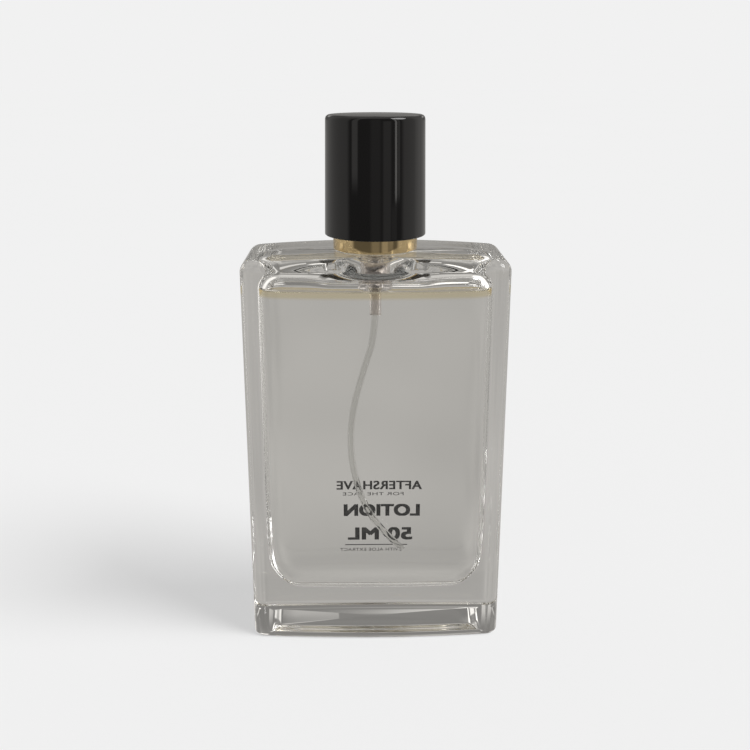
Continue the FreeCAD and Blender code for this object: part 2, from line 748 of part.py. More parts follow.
def cap_shell():
    """Outer shell of the cap, closed at its top."""
    inner_bottom = cap_radius - CAP_WALL
    inner_top = cap_radius_at(cap_ceiling) - CAP_WALL
    outer_top = cap_radius_at(cap_top)
    shell = turned(
        [
            (inner_bottom, cap_bottom),
            (cap_radius, cap_bottom),
            (outer_top, cap_top),
            (0, cap_top),
            (0, cap_ceiling),
            (inner_top, cap_ceiling),
        ]
    )
    shell = round_rims(shell, CAP_TOP_EDGE, [(outer_top, cap_top)])
    shell = round_rims(shell, CAP_INNER_EDGE, [(inner_top, cap_ceiling)])
    return round_rims(shell, CAP_BOTTOM_EDGE, [(cap_radius, cap_bottom)])


def cap_insert():
    """Inner sleeve that grips the collar with its ribs and stops on the collar's top."""
    low = cap_bottom + INSERT_INSET
    stop = collar_top + INSERT_STOP_GAP
    high = stop + INSERT_THROAT_LENGTH
    skin = CAP_WALL + SNUG_GAP
    throat = collar_radius - INSERT_STOP_REACH
    sleeve = turned(
        [
            (grip_radius, low),
            (cap_radius_at(low) - skin, low),
            (cap_radius_at(high) - skin, high),
            (throat, high),
            (throat, stop),
            (grip_radius, stop),
        ]
    )
    rib_height = stop - low - 2 * RIB_END_GAP
    rib = Part.makeBox(INSERT_GRIP_GAP, RIB_WIDTH, rib_height)
    rib.translate(Vec(collar_radius + RIB_GAP, -RIB_WIDTH / 2, low + RIB_END_GAP))
    return sleeve.multiFuse(around(rib, RIB_COUNT)).removeSplitter()


# ---- All pieces ------------------------------------------------------------------------------------
PIECES = (
    glass_bottle,
    aftershave_liquid,
    front_print,
    neck_gasket,
    crimp_ferrule,
    collar,
    collar_liner,
    pump_housing,
    turret,
    inlet_ball,
    main_spring,
    valve_needle,
    piston,
    precompression_spring,
    pump_stem,
    dip_tube,
    actuator_core,
    actuator_shell,
    nozzle_insert,
    cap_shell,
    cap_insert,
)


def main():
    """Build every piece and write one STEP file for each."""
    os.makedirs("parts", exist_ok=True)
    for build in PIECES:
        shape = build()
        if not shape.isValid():
            raise ValueError("%s is not a valid shape" % build.__name__)
        shape.exportStep("parts/%s.step" % build.__name__)
        print("%-22s %10.3f mm3" % (build.__name__, shape.Volume))


main()
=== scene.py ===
"""Looks of a 50 ml aftershave bottle, dressed around its fixed CAD frame.

Sizes are in millimetres and are turned to metres where a mesh is made. +Z is up, and the printed
front and the spray nozzle face +Y.
"""

import logging
import math
from dataclasses import dataclass, field
from enum import Enum
from typing import Callable, Iterable, Sequence

import bmesh
import bpy
import numpy as np
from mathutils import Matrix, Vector


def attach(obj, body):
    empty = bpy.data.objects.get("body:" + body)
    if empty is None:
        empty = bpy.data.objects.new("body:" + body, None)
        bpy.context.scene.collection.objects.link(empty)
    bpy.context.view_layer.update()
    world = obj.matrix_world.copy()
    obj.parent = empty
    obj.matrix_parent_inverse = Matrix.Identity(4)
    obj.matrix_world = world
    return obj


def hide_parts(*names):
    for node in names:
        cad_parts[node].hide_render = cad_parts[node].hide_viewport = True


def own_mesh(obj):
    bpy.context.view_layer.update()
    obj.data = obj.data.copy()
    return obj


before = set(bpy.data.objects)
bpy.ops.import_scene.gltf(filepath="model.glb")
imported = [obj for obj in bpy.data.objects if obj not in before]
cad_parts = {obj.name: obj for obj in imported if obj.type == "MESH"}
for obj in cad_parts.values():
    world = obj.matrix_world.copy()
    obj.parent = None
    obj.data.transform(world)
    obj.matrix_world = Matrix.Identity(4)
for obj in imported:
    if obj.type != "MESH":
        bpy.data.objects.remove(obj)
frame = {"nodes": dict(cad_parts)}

MM = 0.001
TURN = 2 * math.pi
TURNED_STEPS = 160
SHARP_ANGLE = math.radians(32)
SAME_POINT = 1e-7  # points nearer than this, in metres, are one point
ON_AXIS = 1e-9
SIDE_SHARE = 0.49  # the most of a side that one rounding takes up
EDGE_CRISP = 0.05
EDGE_BROKEN = 0.1
EDGE_SOFT = 0.15
EDGE_ROUND = 0.25

log = logging.getLogger("aftershave_bottle")

Profile = Sequence[tuple[float, ...]]


class Body(Enum):
    """The rigid bodies that pieces ride on."""

    BOTTLE = "bottle"
    PLUNGER = "plunger"
    PISTON = "piston"
    BALL = "inlet_ball"
    ACTUATOR = "actuator"
    CAP = "cap"


# ---- Node trees ------------------------------------------------------------------------------------
class NodeSheet:
    """A node tree being filled in, with short ways to add, set and join its nodes."""

    def __init__(self, tree: bpy.types.NodeTree) -> None:
        """Start on a tree and empty it.

        Args:
            tree: The shader or geometry tree to fill.
        """
        self.tree = tree
        tree.nodes.clear()

    def add(self, kind: str, inputs: dict | None = None, **settings: object) -> bpy.types.Node:
        """Add one node.

        Args:
            kind: The node's type name.
            inputs: Values of its input sockets, by name or by number.
            settings: Values of the node's own properties.

        Returns:
            The new node.
        """
        node = self.tree.nodes.new(kind)
        for name, value in settings.items():
            setattr(node, name, value)
        for socket, value in (inputs or {}).items():
            node.inputs[socket].default_value = value
        return node

    def join(self, source: bpy.types.NodeSocket, target: bpy.types.NodeSocket) -> None:
        """Join an output socket to an input socket."""
        self.tree.links.new(source, target)

    def math(
        self, operation: str, first: bpy.types.NodeSocket, second: object
    ) -> bpy.types.NodeSocket:
        """Add a math node.

        Args:
            operation: The name of the sum, such as MULTIPLY.
            first: The socket it works on.
            second: A second socket, or a plain number.

        Returns:
            The result's socket.
        """
        node = self.add("ShaderNodeMath", operation=operation)
        self.join(first, node.inputs[0])
        if isinstance(second, (int, float)):
            node.inputs[1].default_value = second
        else:
            self.join(second, node.inputs[1])
        return node.outputs[0]


class Effects:
    """The shader groups that several finishes share, each built once."""

    _made: dict[str, bpy.types.NodeTree] = {}

    @classmethod
    def _group(
        cls,
        name: str,
        inputs: Iterable[tuple[str, str, object]],
        outputs: Iterable[tuple[str, str]],
        fill: Callable[[NodeSheet, bpy.types.Node, bpy.types.Node], None],
    ) -> bpy.types.NodeTree:
        """Build a group the first time it is asked for.

        Args:
            name: The group's name.
            inputs: Name, socket type and value of each input.
            outputs: Name and socket type of each output.
            fill: Adds the nodes between the group's two ends.

        Returns:
            The group's tree.
        """
        if name not in cls._made:
            tree = bpy.data.node_groups.new(name, "ShaderNodeTree")
            for label, kind, value in inputs:
                socket = tree.interface.new_socket(label, in_out="INPUT", socket_type=kind)
                if value is not None:
                    socket.default_value = value
            for label, kind in outputs:
                tree.interface.new_socket(label, in_out="OUTPUT", socket_type=kind)
            sheet = NodeSheet(tree)
            start = sheet.add("NodeGroupInput")
            end = sheet.add("NodeGroupOutput")
            fill(sheet, start, end)
            cls._made[name] = tree
        return cls._made[name]

    @classmethod
    def handling(cls) -> bpy.types.NodeTree:
        """Smudges from fingers and fine rubbing marks, as a roughness and a height.

        Returns:
            The group, with Roughness and Height outputs.
        """

        def fill(sheet: NodeSheet, start: bpy.types.Node, end: bpy.types.Node) -> None:
            """Join smudges and rubs to the two outputs.

            Args:
                sheet: The group's nodes.
                start: Its input end.
                end: Its output end.
            """
            place = sheet.add("ShaderNodeTexCoord")
            smudge = sheet.add("ShaderNodeTexNoise", {"Detail": 4.0, "Roughness": 0.55})
            sheet.join(place.outputs["Object"], smudge.inputs["Vector"])
            sheet.join(start.outputs["Smudge Scale"], smudge.inputs["Scale"])
            shaped = sheet.add("ShaderNodeMapRange", {"From Min": 0.46, "From Max": 0.74})
            sheet.join(smudge.outputs["Fac"], shaped.inputs["Value"])
            gain = sheet.math("MULTIPLY", shaped.outputs["Result"], start.outputs["Smudge"])
            rough = sheet.math("ADD", gain, start.outputs["Roughness"])
            sheet.join(rough, end.inputs["Roughness"])

            stretch = sheet.add("ShaderNodeMapping", {"Scale": (1.0, 1.0, 0.12)})
            sheet.join(place.outputs["Object"], stretch.inputs["Vector"])
            rubs = sheet.add("ShaderNodeTexNoise", {"Detail": 3.0, "Roughness": 0.7})
            sheet.join(stretch.outputs["Vector"], rubs.inputs["Vector"])
            sheet.join(start.outputs["Rub Scale"], rubs.inputs["Scale"])
            depth = sheet.math("MULTIPLY", rubs.outputs["Fac"], start.outputs["Rub Depth"])
            sheet.join(depth, end.inputs["Height"])

        return cls._group(
            "Handling Marks",
            (
                ("Roughness", "NodeSocketFloat", 0.1),
                ("Smudge", "NodeSocketFloat", 0.05),
                ("Smudge Scale", "NodeSocketFloat", 90.0),
                ("Rub Depth", "NodeSocketFloat", 1e-6),
                ("Rub Scale", "NodeSocketFloat", 2500.0),
            ),
            (("Roughness", "NodeSocketFloat"), ("Height", "NodeSocketFloat")),
            fill,
        )

    @classmethod
    def tone(cls) -> bpy.types.NodeTree:
        """A colour that drifts a little over the piece, as moulded and plated surfaces do.

        Returns:
            The group, with a Color output.
        """

        def fill(sheet: NodeSheet, start: bpy.types.Node, end: bpy.types.Node) -> None:
            """Mix the two tones by a slow noise.

            Args:
                sheet: The group's nodes.
                start: Its input end.
                end: Its output end.
            """
            place = sheet.add("ShaderNodeTexCoord")
            drift = sheet.add("ShaderNodeTexNoise", {"Detail": 3.0, "Roughness": 0.5})
            sheet.join(place.outputs["Object"], drift.inputs["Vector"])
            sheet.join(start.outputs["Scale"], drift.inputs["Scale"])
            mix = sheet.add("ShaderNodeMix", data_type="RGBA")
            sheet.join(drift.outputs["Fac"], mix.inputs["Factor"])
            sheet.join(start.outputs["Light"], mix.inputs["A"])
            sheet.join(start.outputs["Deep"], mix.inputs["B"])
            sheet.join(mix.outputs["Result"], end.inputs["Color"])

        return cls._group(
            "Drifting Tone",
            (
                ("Light", "NodeSocketColor", None),
                ("Deep", "NodeSocketColor", None),
                ("Scale", "NodeSocketFloat", 70.0),
            ),
            (("Color", "NodeSocketColor"),),
            fill,
        )

    @classmethod
    def ripple(cls) -> bpy.types.NodeTree:
        """Slow waves of a moulded or drawn surface, added to a finer height.

        Returns:
            The group, with a Height output.
        """

        def fill(sheet: NodeSheet, start: bpy.types.Node, end: bpy.types.Node) -> None:
            """Add the waves to the height that comes in.

            Args:
                sheet: The group's nodes.
                start: Its input end.
                end: Its output end.
            """
            place = sheet.add("ShaderNodeTexCoord")
            stretch = sheet.add("ShaderNodeMapping", {"Scale": (1.0, 1.0, 0.45)})
            sheet.join(place.outputs["Object"], stretch.inputs["Vector"])
            wave = sheet.add("ShaderNodeTexNoise", {"Detail": 1.0, "Roughness": 0.4})
            sheet.join(stretch.outputs["Vector"], wave.inputs["Vector"])
            sheet.join(start.outputs["Scale"], wave.inputs["Scale"])
            depth = sheet.math("MULTIPLY", wave.outputs["Fac"], start.outputs["Depth"])
            total = sheet.math("ADD", depth, start.outputs["Fine Height"])
            sheet.join(total, end.inputs["Height"])

        return cls._group(
            "Moulded Ripple",
            (
                ("Scale", "NodeSocketFloat", 60.0),
                ("Depth", "NodeSocketFloat", 1e-5),
                ("Fine Height", "NodeSocketFloat", 0.0),
            ),
            (("Height", "NodeSocketFloat"),),
            fill,
        )


# ---- Finishes --------------------------------------------------------------------------------------
Color = tuple[float, float, float]


@dataclass(frozen=True)
class Finish:
    """What every finish has: two close tones, handling marks and the ripple of its making.

    Fields that are the same all over a surface go on the shader's own sockets through fixed().
    """

    name: str
    light: Color
    deep: Color
    roughness: float = 0.3
    smudge: float = 0.05
    smudge_scale: float = 90.0
    rub_depth: float = 4e-7
    rub_scale: float = 2500.0
    ripple: float = 4e-6
    ripple_scale: float = 60.0
    tone_scale: float = 70.0

    def fixed(self) -> dict[str, object]:
        """Values of the shader's sockets that don't change over the surface."""
        return {}

    def build(self) -> bpy.types.Material:
        """Make the material, once for each name.

        Returns:
            The material, with its shared effects joined to one Principled shader.
        """
        found = bpy.data.materials.get(self.name)
        if found is not None:
            return found
        material = bpy.data.materials.new(self.name)
        material.use_nodes = True
        sheet = NodeSheet(material.node_tree)
        end = sheet.add("ShaderNodeOutputMaterial")
        shader = sheet.add("ShaderNodeBsdfPrincipled", self.fixed())
        sheet.join(shader.outputs["BSDF"], end.inputs["Surface"])

        tone = sheet.add("ShaderNodeGroup", node_tree=Effects.tone())
        tone.inputs["Light"].default_value = (*self.light, 1.0)
        tone.inputs["Deep"].default_value = (*self.deep, 1.0)
        tone.inputs["Scale"].default_value = self.tone_scale
        marks = sheet.add("ShaderNodeGroup", node_tree=Effects.handling())
        marks.inputs["Roughness"].default_value = self.roughness
        marks.inputs["Smudge"].default_value = self.smudge
        marks.inputs["Smudge Scale"].default_value = self.smudge_scale
        marks.inputs["Rub Depth"].default_value = self.rub_depth
        marks.inputs["Rub Scale"].default_value = self.rub_scale
        ripple = sheet.add("ShaderNodeGroup", node_tree=Effects.ripple())
        ripple.inputs["Depth"].default_value = self.ripple
        ripple.inputs["Scale"].default_value = self.ripple_scale
        sheet.join(marks.outputs["Height"], ripple.inputs["Fine Height"])
        bump = sheet.add("ShaderNodeBump", {"Strength": 1.0, "Distance": 1.0})
        sheet.join(ripple.outputs["Height"], bump.inputs["Height"])

        sheet.join(self.coloured(sheet, tone.outputs["Color"]), shader.inputs["Base Color"])
        sheet.join(marks.outputs["Roughness"], shader.inputs["Roughness"])
        sheet.join(bump.outputs["Normal"], shader.inputs["Normal"])
        return material

    def coloured(
        self, sheet: NodeSheet, tone: bpy.types.NodeSocket
    ) -> bpy.types.NodeSocket:
        """The socket that gives the base colour; a finish with a pattern of its own changes it."""
        return tone


@dataclass(frozen=True)
class ClearFinish(Finish):
    """Glass, liquid and clear plastic."""

    ior: float = 1.5

    def fixed(self) -> dict[str, object]:
        """A clear shader of this index."""
        return {"IOR": self.ior, "Transmission Weight": 1.0, "Metallic": 0.0}


@dataclass(frozen=True)
class PaintedGlintFinish(ClearFinish):
    """Liquid against the glass, with a painted reflection: an amber band just under its surface stands
    in for the warm light reflected at the meniscus; the liquid itself is clear.
    """

    painted_glint: Color = (0.93, 0.78, 0.46)
    painted_glint_low: float = 77.6
    painted_glint_high: float = 78.6

    def coloured(
        self, sheet: NodeSheet, tone: bpy.types.NodeSocket
    ) -> bpy.types.NodeSocket:
        """Mix the amber in towards the surface.

        Args:
            sheet: The material's nodes.
            tone: The liquid's own colour.

        Returns:
            The colour with the painted amber reflection in a band under the surface.
        """
        place = sheet.add("ShaderNodeTexCoord")
        apart = sheet.add("ShaderNodeSeparateXYZ")
        sheet.join(place.outputs["Object"], apart.inputs["Vector"])
        # Mask of the painted amber reflection: it grows over the last millimetre under the liquid's
        # surface.
        rise = sheet.add(
            "ShaderNodeMapRange",
            {"From Min": self.painted_glint_low * MM, "From Max": self.painted_glint_high * MM},
            interpolation_type="SMOOTHSTEP",
        )
        sheet.join(apart.outputs["Z"], rise.inputs["Value"])
        mix = sheet.add("ShaderNodeMix", data_type="RGBA")
        sheet.join(rise.outputs["Result"], mix.inputs["Factor"])
        sheet.join(tone, mix.inputs["A"])
        mix.inputs["B"].default_value = (*self.painted_glint, 1.0)
        return mix.outputs["Result"]


@dataclass(frozen=True)
class PlasticFinish(Finish):
    """Moulded plastic, from matt to gloss."""

    coat: float = 0.0
    coat_roughness: float = 0.03
    glow: float = 0.0
    glow_depth: float = 0.002
    ior: float = 1.5

    def fixed(self) -> dict[str, object]:
        """An opaque plastic, with a clear coat and light passing under its skin if asked for.

        Returns:
            Values by socket name.
        """
        return {
            "IOR": self.ior,
            "Coat Weight": self.coat,
            "Coat Roughness": self.coat_roughness,
            "Subsurface Weight": self.glow,
            "Subsurface Scale": self.glow_depth,
        }


@dataclass(frozen=True)
class MetalFinish(Finish):
    """Polished, drawn or turned metal, with fine turning lines round its axis."""

    lines: float = 0.05
    line_pitch: float = 3000.0
    line_stretch: float = 0.02

    def fixed(self) -> dict[str, object]:
        """A plain metal."""
        return {"Metallic": 1.0}

    def coloured(
        self, sheet: NodeSheet, tone: bpy.types.NodeSocket
    ) -> bpy.types.NodeSocket:
        """Darken the tone a little along fine level lines.

        Args:
            sheet: The material's nodes.
            tone: The metal's own colour.

        Returns:
            The colour with its lines.
        """
        place = sheet.add("ShaderNodeTexCoord")
        stretch = (self.line_stretch, self.line_stretch, 1.0)
        flat = sheet.add("ShaderNodeMapping", {"Scale": stretch})
        sheet.join(place.outputs["Object"], flat.inputs["Vector"])
        grain = sheet.add("ShaderNodeTexNoise", {"Scale": self.line_pitch, "Detail": 2.0})
        sheet.join(flat.outputs["Vector"], grain.inputs["Vector"])
        shade = sheet.add(
            "ShaderNodeMapRange", {"To Min": 1.0, "To Max": 1.0 - self.lines}
        )
        sheet.join(grain.outputs["Fac"], shade.inputs["Value"])
        scale = sheet.add("ShaderNodeVectorMath", operation="SCALE")
        sheet.join(tone, scale.inputs[0])
        sheet.join(shade.outputs["Result"], scale.inputs["Scale"])
        return scale.outputs["Vector"]


@dataclass(frozen=True)
class SweepFinish(Finish):
    """The pale matt floor that the bottle stands on."""

    def fixed(self) -> dict[str, object]:
        """A matt surface with no shine."""
        return {"Specular IOR Level": 0.0}


GLASS = ClearFinish(
    "clear_flint_glass", (0.995, 0.99, 0.98), (0.985, 0.98, 0.965), roughness=0.0, smudge=0.004,
    rub_depth=0.0, ripple=1.6e-5, ripple_scale=50.0, ior=1.5,
)
GLASS_DRY = ClearFinish(
    "glass_inner_wall_dry", (1.0, 1.0, 1.0), (0.985, 0.985, 0.985), roughness=0.0, smudge=0.0,
    rub_depth=0.0, ripple=2.5e-5, ripple_scale=60.0, ior=1.5,
)
GLASS_WET = ClearFinish(
    "glass_inner_wall_wet", (1.0, 1.0, 1.0), (0.985, 0.985, 0.985), roughness=0.0, smudge=0.0,
    rub_depth=0.0, ripple=3e-5, ripple_scale=60.0, ior=1.075,
)
# The amber of the liquid's top surface is a painted reflection: it stands in for the warm line seen
# along the surface where it meets the glass; the liquid itself is clear.
LIQUID_TOP = ClearFinish(
    "liquid_surface_painted_glint", (0.93, 0.82, 0.60), (0.90, 0.78, 0.55), roughness=0.0, smudge=0.0,
    rub_depth=0.0, ripple=6e-6, ripple_scale=120.0, ior=1.36,
)
# The liquid against the glass is clear, with a painted amber reflection in a band under its surface.
LIQUID_SIDE = PaintedGlintFinish(
    "liquid_against_glass_painted_glint", (1.0, 1.0, 0.995), (0.99, 0.99, 0.98), roughness=0.0, smudge=0.0,
    rub_depth=0.0, ripple=0.0, ior=1.0,
)
TUBE_PLASTIC = ClearFinish(
    "dip_tube_plastic", (0.93, 0.93, 0.92), (0.86, 0.86, 0.85), roughness=0.12, smudge=0.06,
    ripple=1e-5, ripple_scale=300.0, ior=1.11,
)
HOUSING_PLASTIC = ClearFinish(
    "pump_housing_plastic", (0.93, 0.90, 0.88), (0.84, 0.80, 0.78), roughness=0.16, smudge=0.08,
    ripple=2e-5, ripple_scale=260.0, ior=1.3,
)
BLACK_GLOSS = PlasticFinish(
    "black_gloss_plastic", (0.006, 0.0055, 0.0055), (0.004, 0.0037, 0.0037), roughness=0.05,
    smudge=0.03, smudge_scale=130.0, rub_depth=1.5e-7, ripple=6e-6, ripple_scale=45.0, coat=0.1,
)
BLACK_INNER = PlasticFinish(
    "black_inner_plastic", (0.020, 0.020, 0.021), (0.013, 0.013, 0.014), roughness=0.32, smudge=0.1
)
WHITE_PLASTIC = PlasticFinish(
    "white_plastic", (0.82, 0.82, 0.80), (0.76, 0.76, 0.73), roughness=0.34, smudge=0.08, glow=0.15
)
SOFT_SEAL = PlasticFinish(
    "soft_seal_plastic", (0.66, 0.66, 0.63), (0.58, 0.58, 0.55), roughness=0.6, smudge=0.1
)
INK = PlasticFinish(
    "black_ink", (0.012, 0.012, 0.013), (0.03, 0.03, 0.03), roughness=0.42, smudge=0.12,
    smudge_scale=600.0, rub_depth=8e-7, rub_scale=6000.0, tone_scale=900.0,
)
GOLD_METAL = MetalFinish(
    "gold_anodised_aluminium", (0.82, 0.64, 0.36), (0.76, 0.57, 0.30), roughness=0.10, smudge=0.05,
    rub_depth=1.5e-7, ripple=3e-6, ripple_scale=60.0, lines=0.07,
)
PLAIN_METAL = MetalFinish(
    "plain_aluminium", (0.82, 0.82, 0.83), (0.74, 0.74, 0.75), roughness=0.26, smudge=0.08, lines=0.1
)
STEEL = MetalFinish(
    "spring_steel", (0.62, 0.62, 0.63), (0.52, 0.52, 0.53), roughness=0.2, smudge=0.06, lines=0.1
)
SWEEP = SweepFinish(
    "pale_floor", (0.86, 0.86, 0.86), (0.85, 0.85, 0.85), roughness=0.9, smudge=0.03,
    rub_depth=0.0, ripple=0.0, tone_scale=4.0,
)


# ---- Mesh making -----------------------------------------------------------------------------------
def finished_object(
    name: str, mesh: bpy.types.Mesh, finishes: Sequence[Finish], outward: bool = True
) -> bpy.types.Object:
    """Put a mesh in the scene as a finished piece at the origin.

    Args:
        name: The piece's name.
        mesh: Its mesh, with its place in its points.
        finishes: The finish of each of its material slots.
        outward: Whether the faces still have to be turned outwards.

    Returns:
        The object.
    """
    if outward:
        work = bmesh.new()
        work.from_mesh(mesh)
        bmesh.ops.remove_doubles(work, verts=work.verts, dist=SAME_POINT)
        bmesh.ops.recalc_face_normals(work, faces=work.faces)
        work.to_mesh(mesh)
        work.free()
    slots = np.zeros(len(mesh.polygons), np.int32)
    mesh.polygons.foreach_get("material_index", slots)
    mesh.materials.clear()
    for finish in finishes:
        mesh.materials.append(finish.build())
    mesh.polygons.foreach_set("material_index", slots)
    mesh.shade_smooth()
    mesh.set_sharp_from_angle(angle=SHARP_ANGLE)
    mesh.name = name
    piece = bpy.data.objects.new(name, mesh)
    bpy.context.scene.collection.objects.link(piece)
    return piece


@dataclass
class RingStack:
    """Rings of equally many points, skinned one to the next and closed at both ends."""

    rings: list[np.ndarray] = field(default_factory=list)
    slots: list[int] = field(default_factory=list)

    def add(self, ring: np.ndarray, slot: int = 0) -> None:
        """Add a ring; slot is the material of the band that leads up to it."""
        self.rings.append(ring)
        self.slots.append(slot)

    def mesh(self, name: str) -> bpy.types.Mesh:
        """Skin the rings, with a fan at each end.

        Args:
            name: The mesh's name.

        Returns:
            The closed mesh.
        """
        count = len(self.rings[0])
        points = np.concatenate(self.rings)
        first = len(points)
        points = np.vstack([points, self.rings[0].mean(0), self.rings[-1].mean(0)])
        here = np.arange(count)
        ahead = (here + 1) % count
        faces = [(int(b), int(a), first) for a, b in zip(here, ahead)]
        slots = [self.slots[0]] * count
        for row in range(len(self.rings) - 1):
            low, high = row * count, (row + 1) * count
            faces += [
                (int(low + a), int(low + b), int(high + b), int(high + a)) for a, b in zip(here, ahead)
            ]
            slots += [self.slots[row + 1]] * count
        top = (len(self.rings) - 1) * count
        faces += [(int(top + a), int(top + b), first + 1) for a, b in zip(here, ahead)]
        slots += [self.slots[-1]] * count
        mesh = bpy.data.meshes.new(name)
        mesh.from_pydata((points * MM).tolist(), [], faces)
        mesh.polygons.foreach_set("material_index", slots)
        mesh.update()
        return mesh


def rounded_profile(profile: Profile, steps: int = 6) -> list[tuple[float, float]]:
    """Round the corners of a closed outline of (radius, height, rounding) points.

    Args:
        profile: The corners; a corner without a third number stays sharp.
        steps: How many points each rounding gets.

    Returns:
        The outline's points.
    """
    count = len(profile)
    done: list[tuple[float, float]] = []
    for index, corner in enumerate(profile):
        here = Vector(corner[:2])
        rounding = corner[2] if len(corner) > 2 else 0.0
        if rounding <= 0:
            done.append((here.x, here.y))
            continue
        back = Vector(profile[index - 1][:2]) - here
        ahead = Vector(profile[(index + 1) % count][:2]) - here
        half = back.angle(ahead) / 2
        reach = min(rounding / math.tan(half), SIDE_SHARE * back.length, SIDE_SHARE * ahead.length)
        start = here + back.normalized() * reach
        end = here + ahead.normalized() * reach
        for step in range(steps + 1):
            share = step / steps
            bend = start * (1 - share) ** 2 + here * 2 * share * (1 - share) + end * share**2
            done.append((bend.x, bend.y))
    return done


def turned_mesh(name: str, profile: Profile, steps: int = TURNED_STEPS) -> bpy.types.Mesh:
    """A mesh turned about the Z axis from a closed outline.

    Args:
        name: The mesh's name.
        profile: The outline's corners, as for rounded_profile.
        steps: How many steps the full turn takes.

    Returns:
        The closed mesh, in metres.
    """
    outline = rounded_profile(profile)
    work = bmesh.new()
    rows = []
    for radius, height in outline:
        if radius < ON_AXIS:
            rows.append([work.verts.new((0.0, 0.0, height * MM))] * steps)
            continue
        row = []
        for step in range(steps):
            turn = TURN * step / steps
            row.append(
                work.verts.new(
                    (radius * math.cos(turn) * MM, radius * math.sin(turn) * MM, height * MM)
                )
            )
        rows.append(row)
    for row, above in zip(rows, rows[1:] + rows[:1]):
        for step in range(steps):
            ahead = (step + 1) % steps
            corners = [row[step], row[ahead], above[ahead], above[step]]
            unique = list(dict.fromkeys(corners))
            if len(unique) > 2:
                work.faces.new(unique)
    bmesh.ops.recalc_face_normals(work, faces=work.faces)
    mesh = bpy.data.meshes.new(name)
    work.to_mesh(mesh)
    work.free()
    return mesh


def swept_mesh(
    name: str, line: np.ndarray, radii: Sequence[float], sides: int = 40
) -> bpy.types.Mesh:
    """A tube wall along a line, from its outside down to its bore.

    Args:
        name: The mesh's name.
        line: The points of the middle line.
        radii: The outer radius and the bore's radius; a single radius gives a solid bar.
        sides: Points round each ring.

    Returns:
        The closed mesh, in metres.
    """
    ways = np.gradient(line, axis=0)
    ways /= np.linalg.norm(ways, axis=1)[:, None]
    side = np.cross(ways[0], (0.0, 1.0, 0.0))
    side /= np.linalg.norm(side)
    frames = []
    for way in ways:
        side = side - way * float(np.dot(side, way))
        side /= np.linalg.norm(side)
        frames.append((side.copy(), np.cross(way, side)))
    turns = np.linspace(0, TURN, sides, endpoint=False)

    def ring(index: int, radius: float) -> np.ndarray:
        """The ring of one radius round one point of the line.

        Args:
            index: Which point of the line.
            radius: The ring's radius.

        Returns:
            The ring's points.
        """
        across, over = frames[index]
        return line[index] + radius * (
            np.cos(turns)[:, None] * across + np.sin(turns)[:, None] * over
        )

    count = len(line)
    rings = [ring(index, radii[0]) for index in range(count)]
    if len(radii) > 1:
        rings += [ring(index, radii[1]) for index in reversed(range(count))]
    points = np.concatenate(rings)
    total = len(rings)
    here = np.arange(sides)
    ahead = (here + 1) % sides
    faces = []
    bands = total if len(radii) > 1 else total - 1
    for row in range(bands):
        low, high = row * sides, ((row + 1) % total) * sides
        faces += [
            (int(low + a), int(low + b), int(high + b), int(high + a)) for a, b in zip(here, ahead)
        ]
    if len(radii) == 1:
        faces.append(tuple(int(i) for i in here[::-1]))
        faces.append(tuple(int(i) for i in (total - 1) * sides + here))
    mesh = bpy.data.meshes.new(name)
    mesh.from_pydata((points * MM).tolist(), [], faces)
    mesh.update()
    return mesh


# ---- Bottle shape ----------------------------------------------------------------------------------
@dataclass(frozen=True)
class PlanShape:
    """A level outline with straight ends, bowed faces and round corners."""

    half_width: float
    half_depth: float
    bulge: float
    corner: float
    least_corner: float = 0.4
    end_steps: int = 20
    corner_steps: int = 16
    face_steps: int = 84

    def bow(self) -> float:
        """Radius of the bowed faces."""
        return (self.half_width**2 + self.bulge**2) / (2 * self.bulge)

    def face_y(self, across: np.ndarray) -> np.ndarray:
        """How far out the +Y face is at distances across it."""
        return np.sqrt(self.bow() ** 2 - across**2) - self.bow() + self.half_depth

    def inset(self, distance: float) -> "PlanShape":
        """The outline drawn in by a distance all round.

        Args:
            distance: How far in.

        Returns:
            The smaller outline.
        """
        bow = self.bow() - distance
        half_width = self.half_width - distance
        return PlanShape(
            half_width,
            self.half_depth - distance,
            bow - math.sqrt(bow**2 - half_width**2),
            max(self.corner - distance, self.least_corner),
        )

    def points(self) -> np.ndarray:
        """The outline's points, counterclockwise from the low end of its right side.

        Returns:
            One row of X and Y for each point.
        """
        bow = self.bow()
        offset = bow - self.half_depth
        corner_x = self.half_width - self.corner
        corner_y = math.sqrt((bow - self.corner) ** 2 - corner_x**2) - offset
        lean = math.atan2(corner_x, corner_y + offset)
        rise = np.linspace(-corner_y, corner_y, self.end_steps, endpoint=False)
        end = np.stack([np.full_like(rise, self.half_width), rise], 1)
        turn = np.linspace(0, math.pi / 2 - lean, self.corner_steps, endpoint=False)
        right = np.stack([np.cos(turn), np.sin(turn)], 1) * self.corner + (corner_x, corner_y)
        swing = np.linspace(lean, -lean, self.face_steps, endpoint=False)
        face = np.stack([bow * np.sin(swing), bow * np.cos(swing) - offset], 1)
        turn = np.linspace(math.pi / 2 + lean, math.pi, self.corner_steps, endpoint=False)
        left = np.stack([np.cos(turn), np.sin(turn)], 1) * self.corner + (-corner_x, corner_y)
        half = np.concatenate([end, right, face, left])
        return np.concatenate([half, -half])

    def normals(self) -> np.ndarray:
        """The outward way at each point of the outline.

        Returns:
            One unit row for each point.
        """
        points = self.points()
        along = np.roll(points, -1, 0) - np.roll(points, 1, 0)
        out = np.stack([along[:, 1], -along[:, 0]], 1)
        return out / np.linalg.norm(out, axis=1)[:, None]


def lifted(outline: np.ndarray, height: object) -> np.ndarray:
    """Give a flat outline its height, one number or one for each point."""
    heights = np.broadcast_to(np.asarray(height, float), (len(outline),))
    return np.column_stack([outline, heights])


def eased(share: object) -> np.ndarray:
    """A share from 0 to 1 with soft ends."""
    share = np.clip(np.asarray(share, float), 0, 1)
    return share * share * (3 - 2 * share)


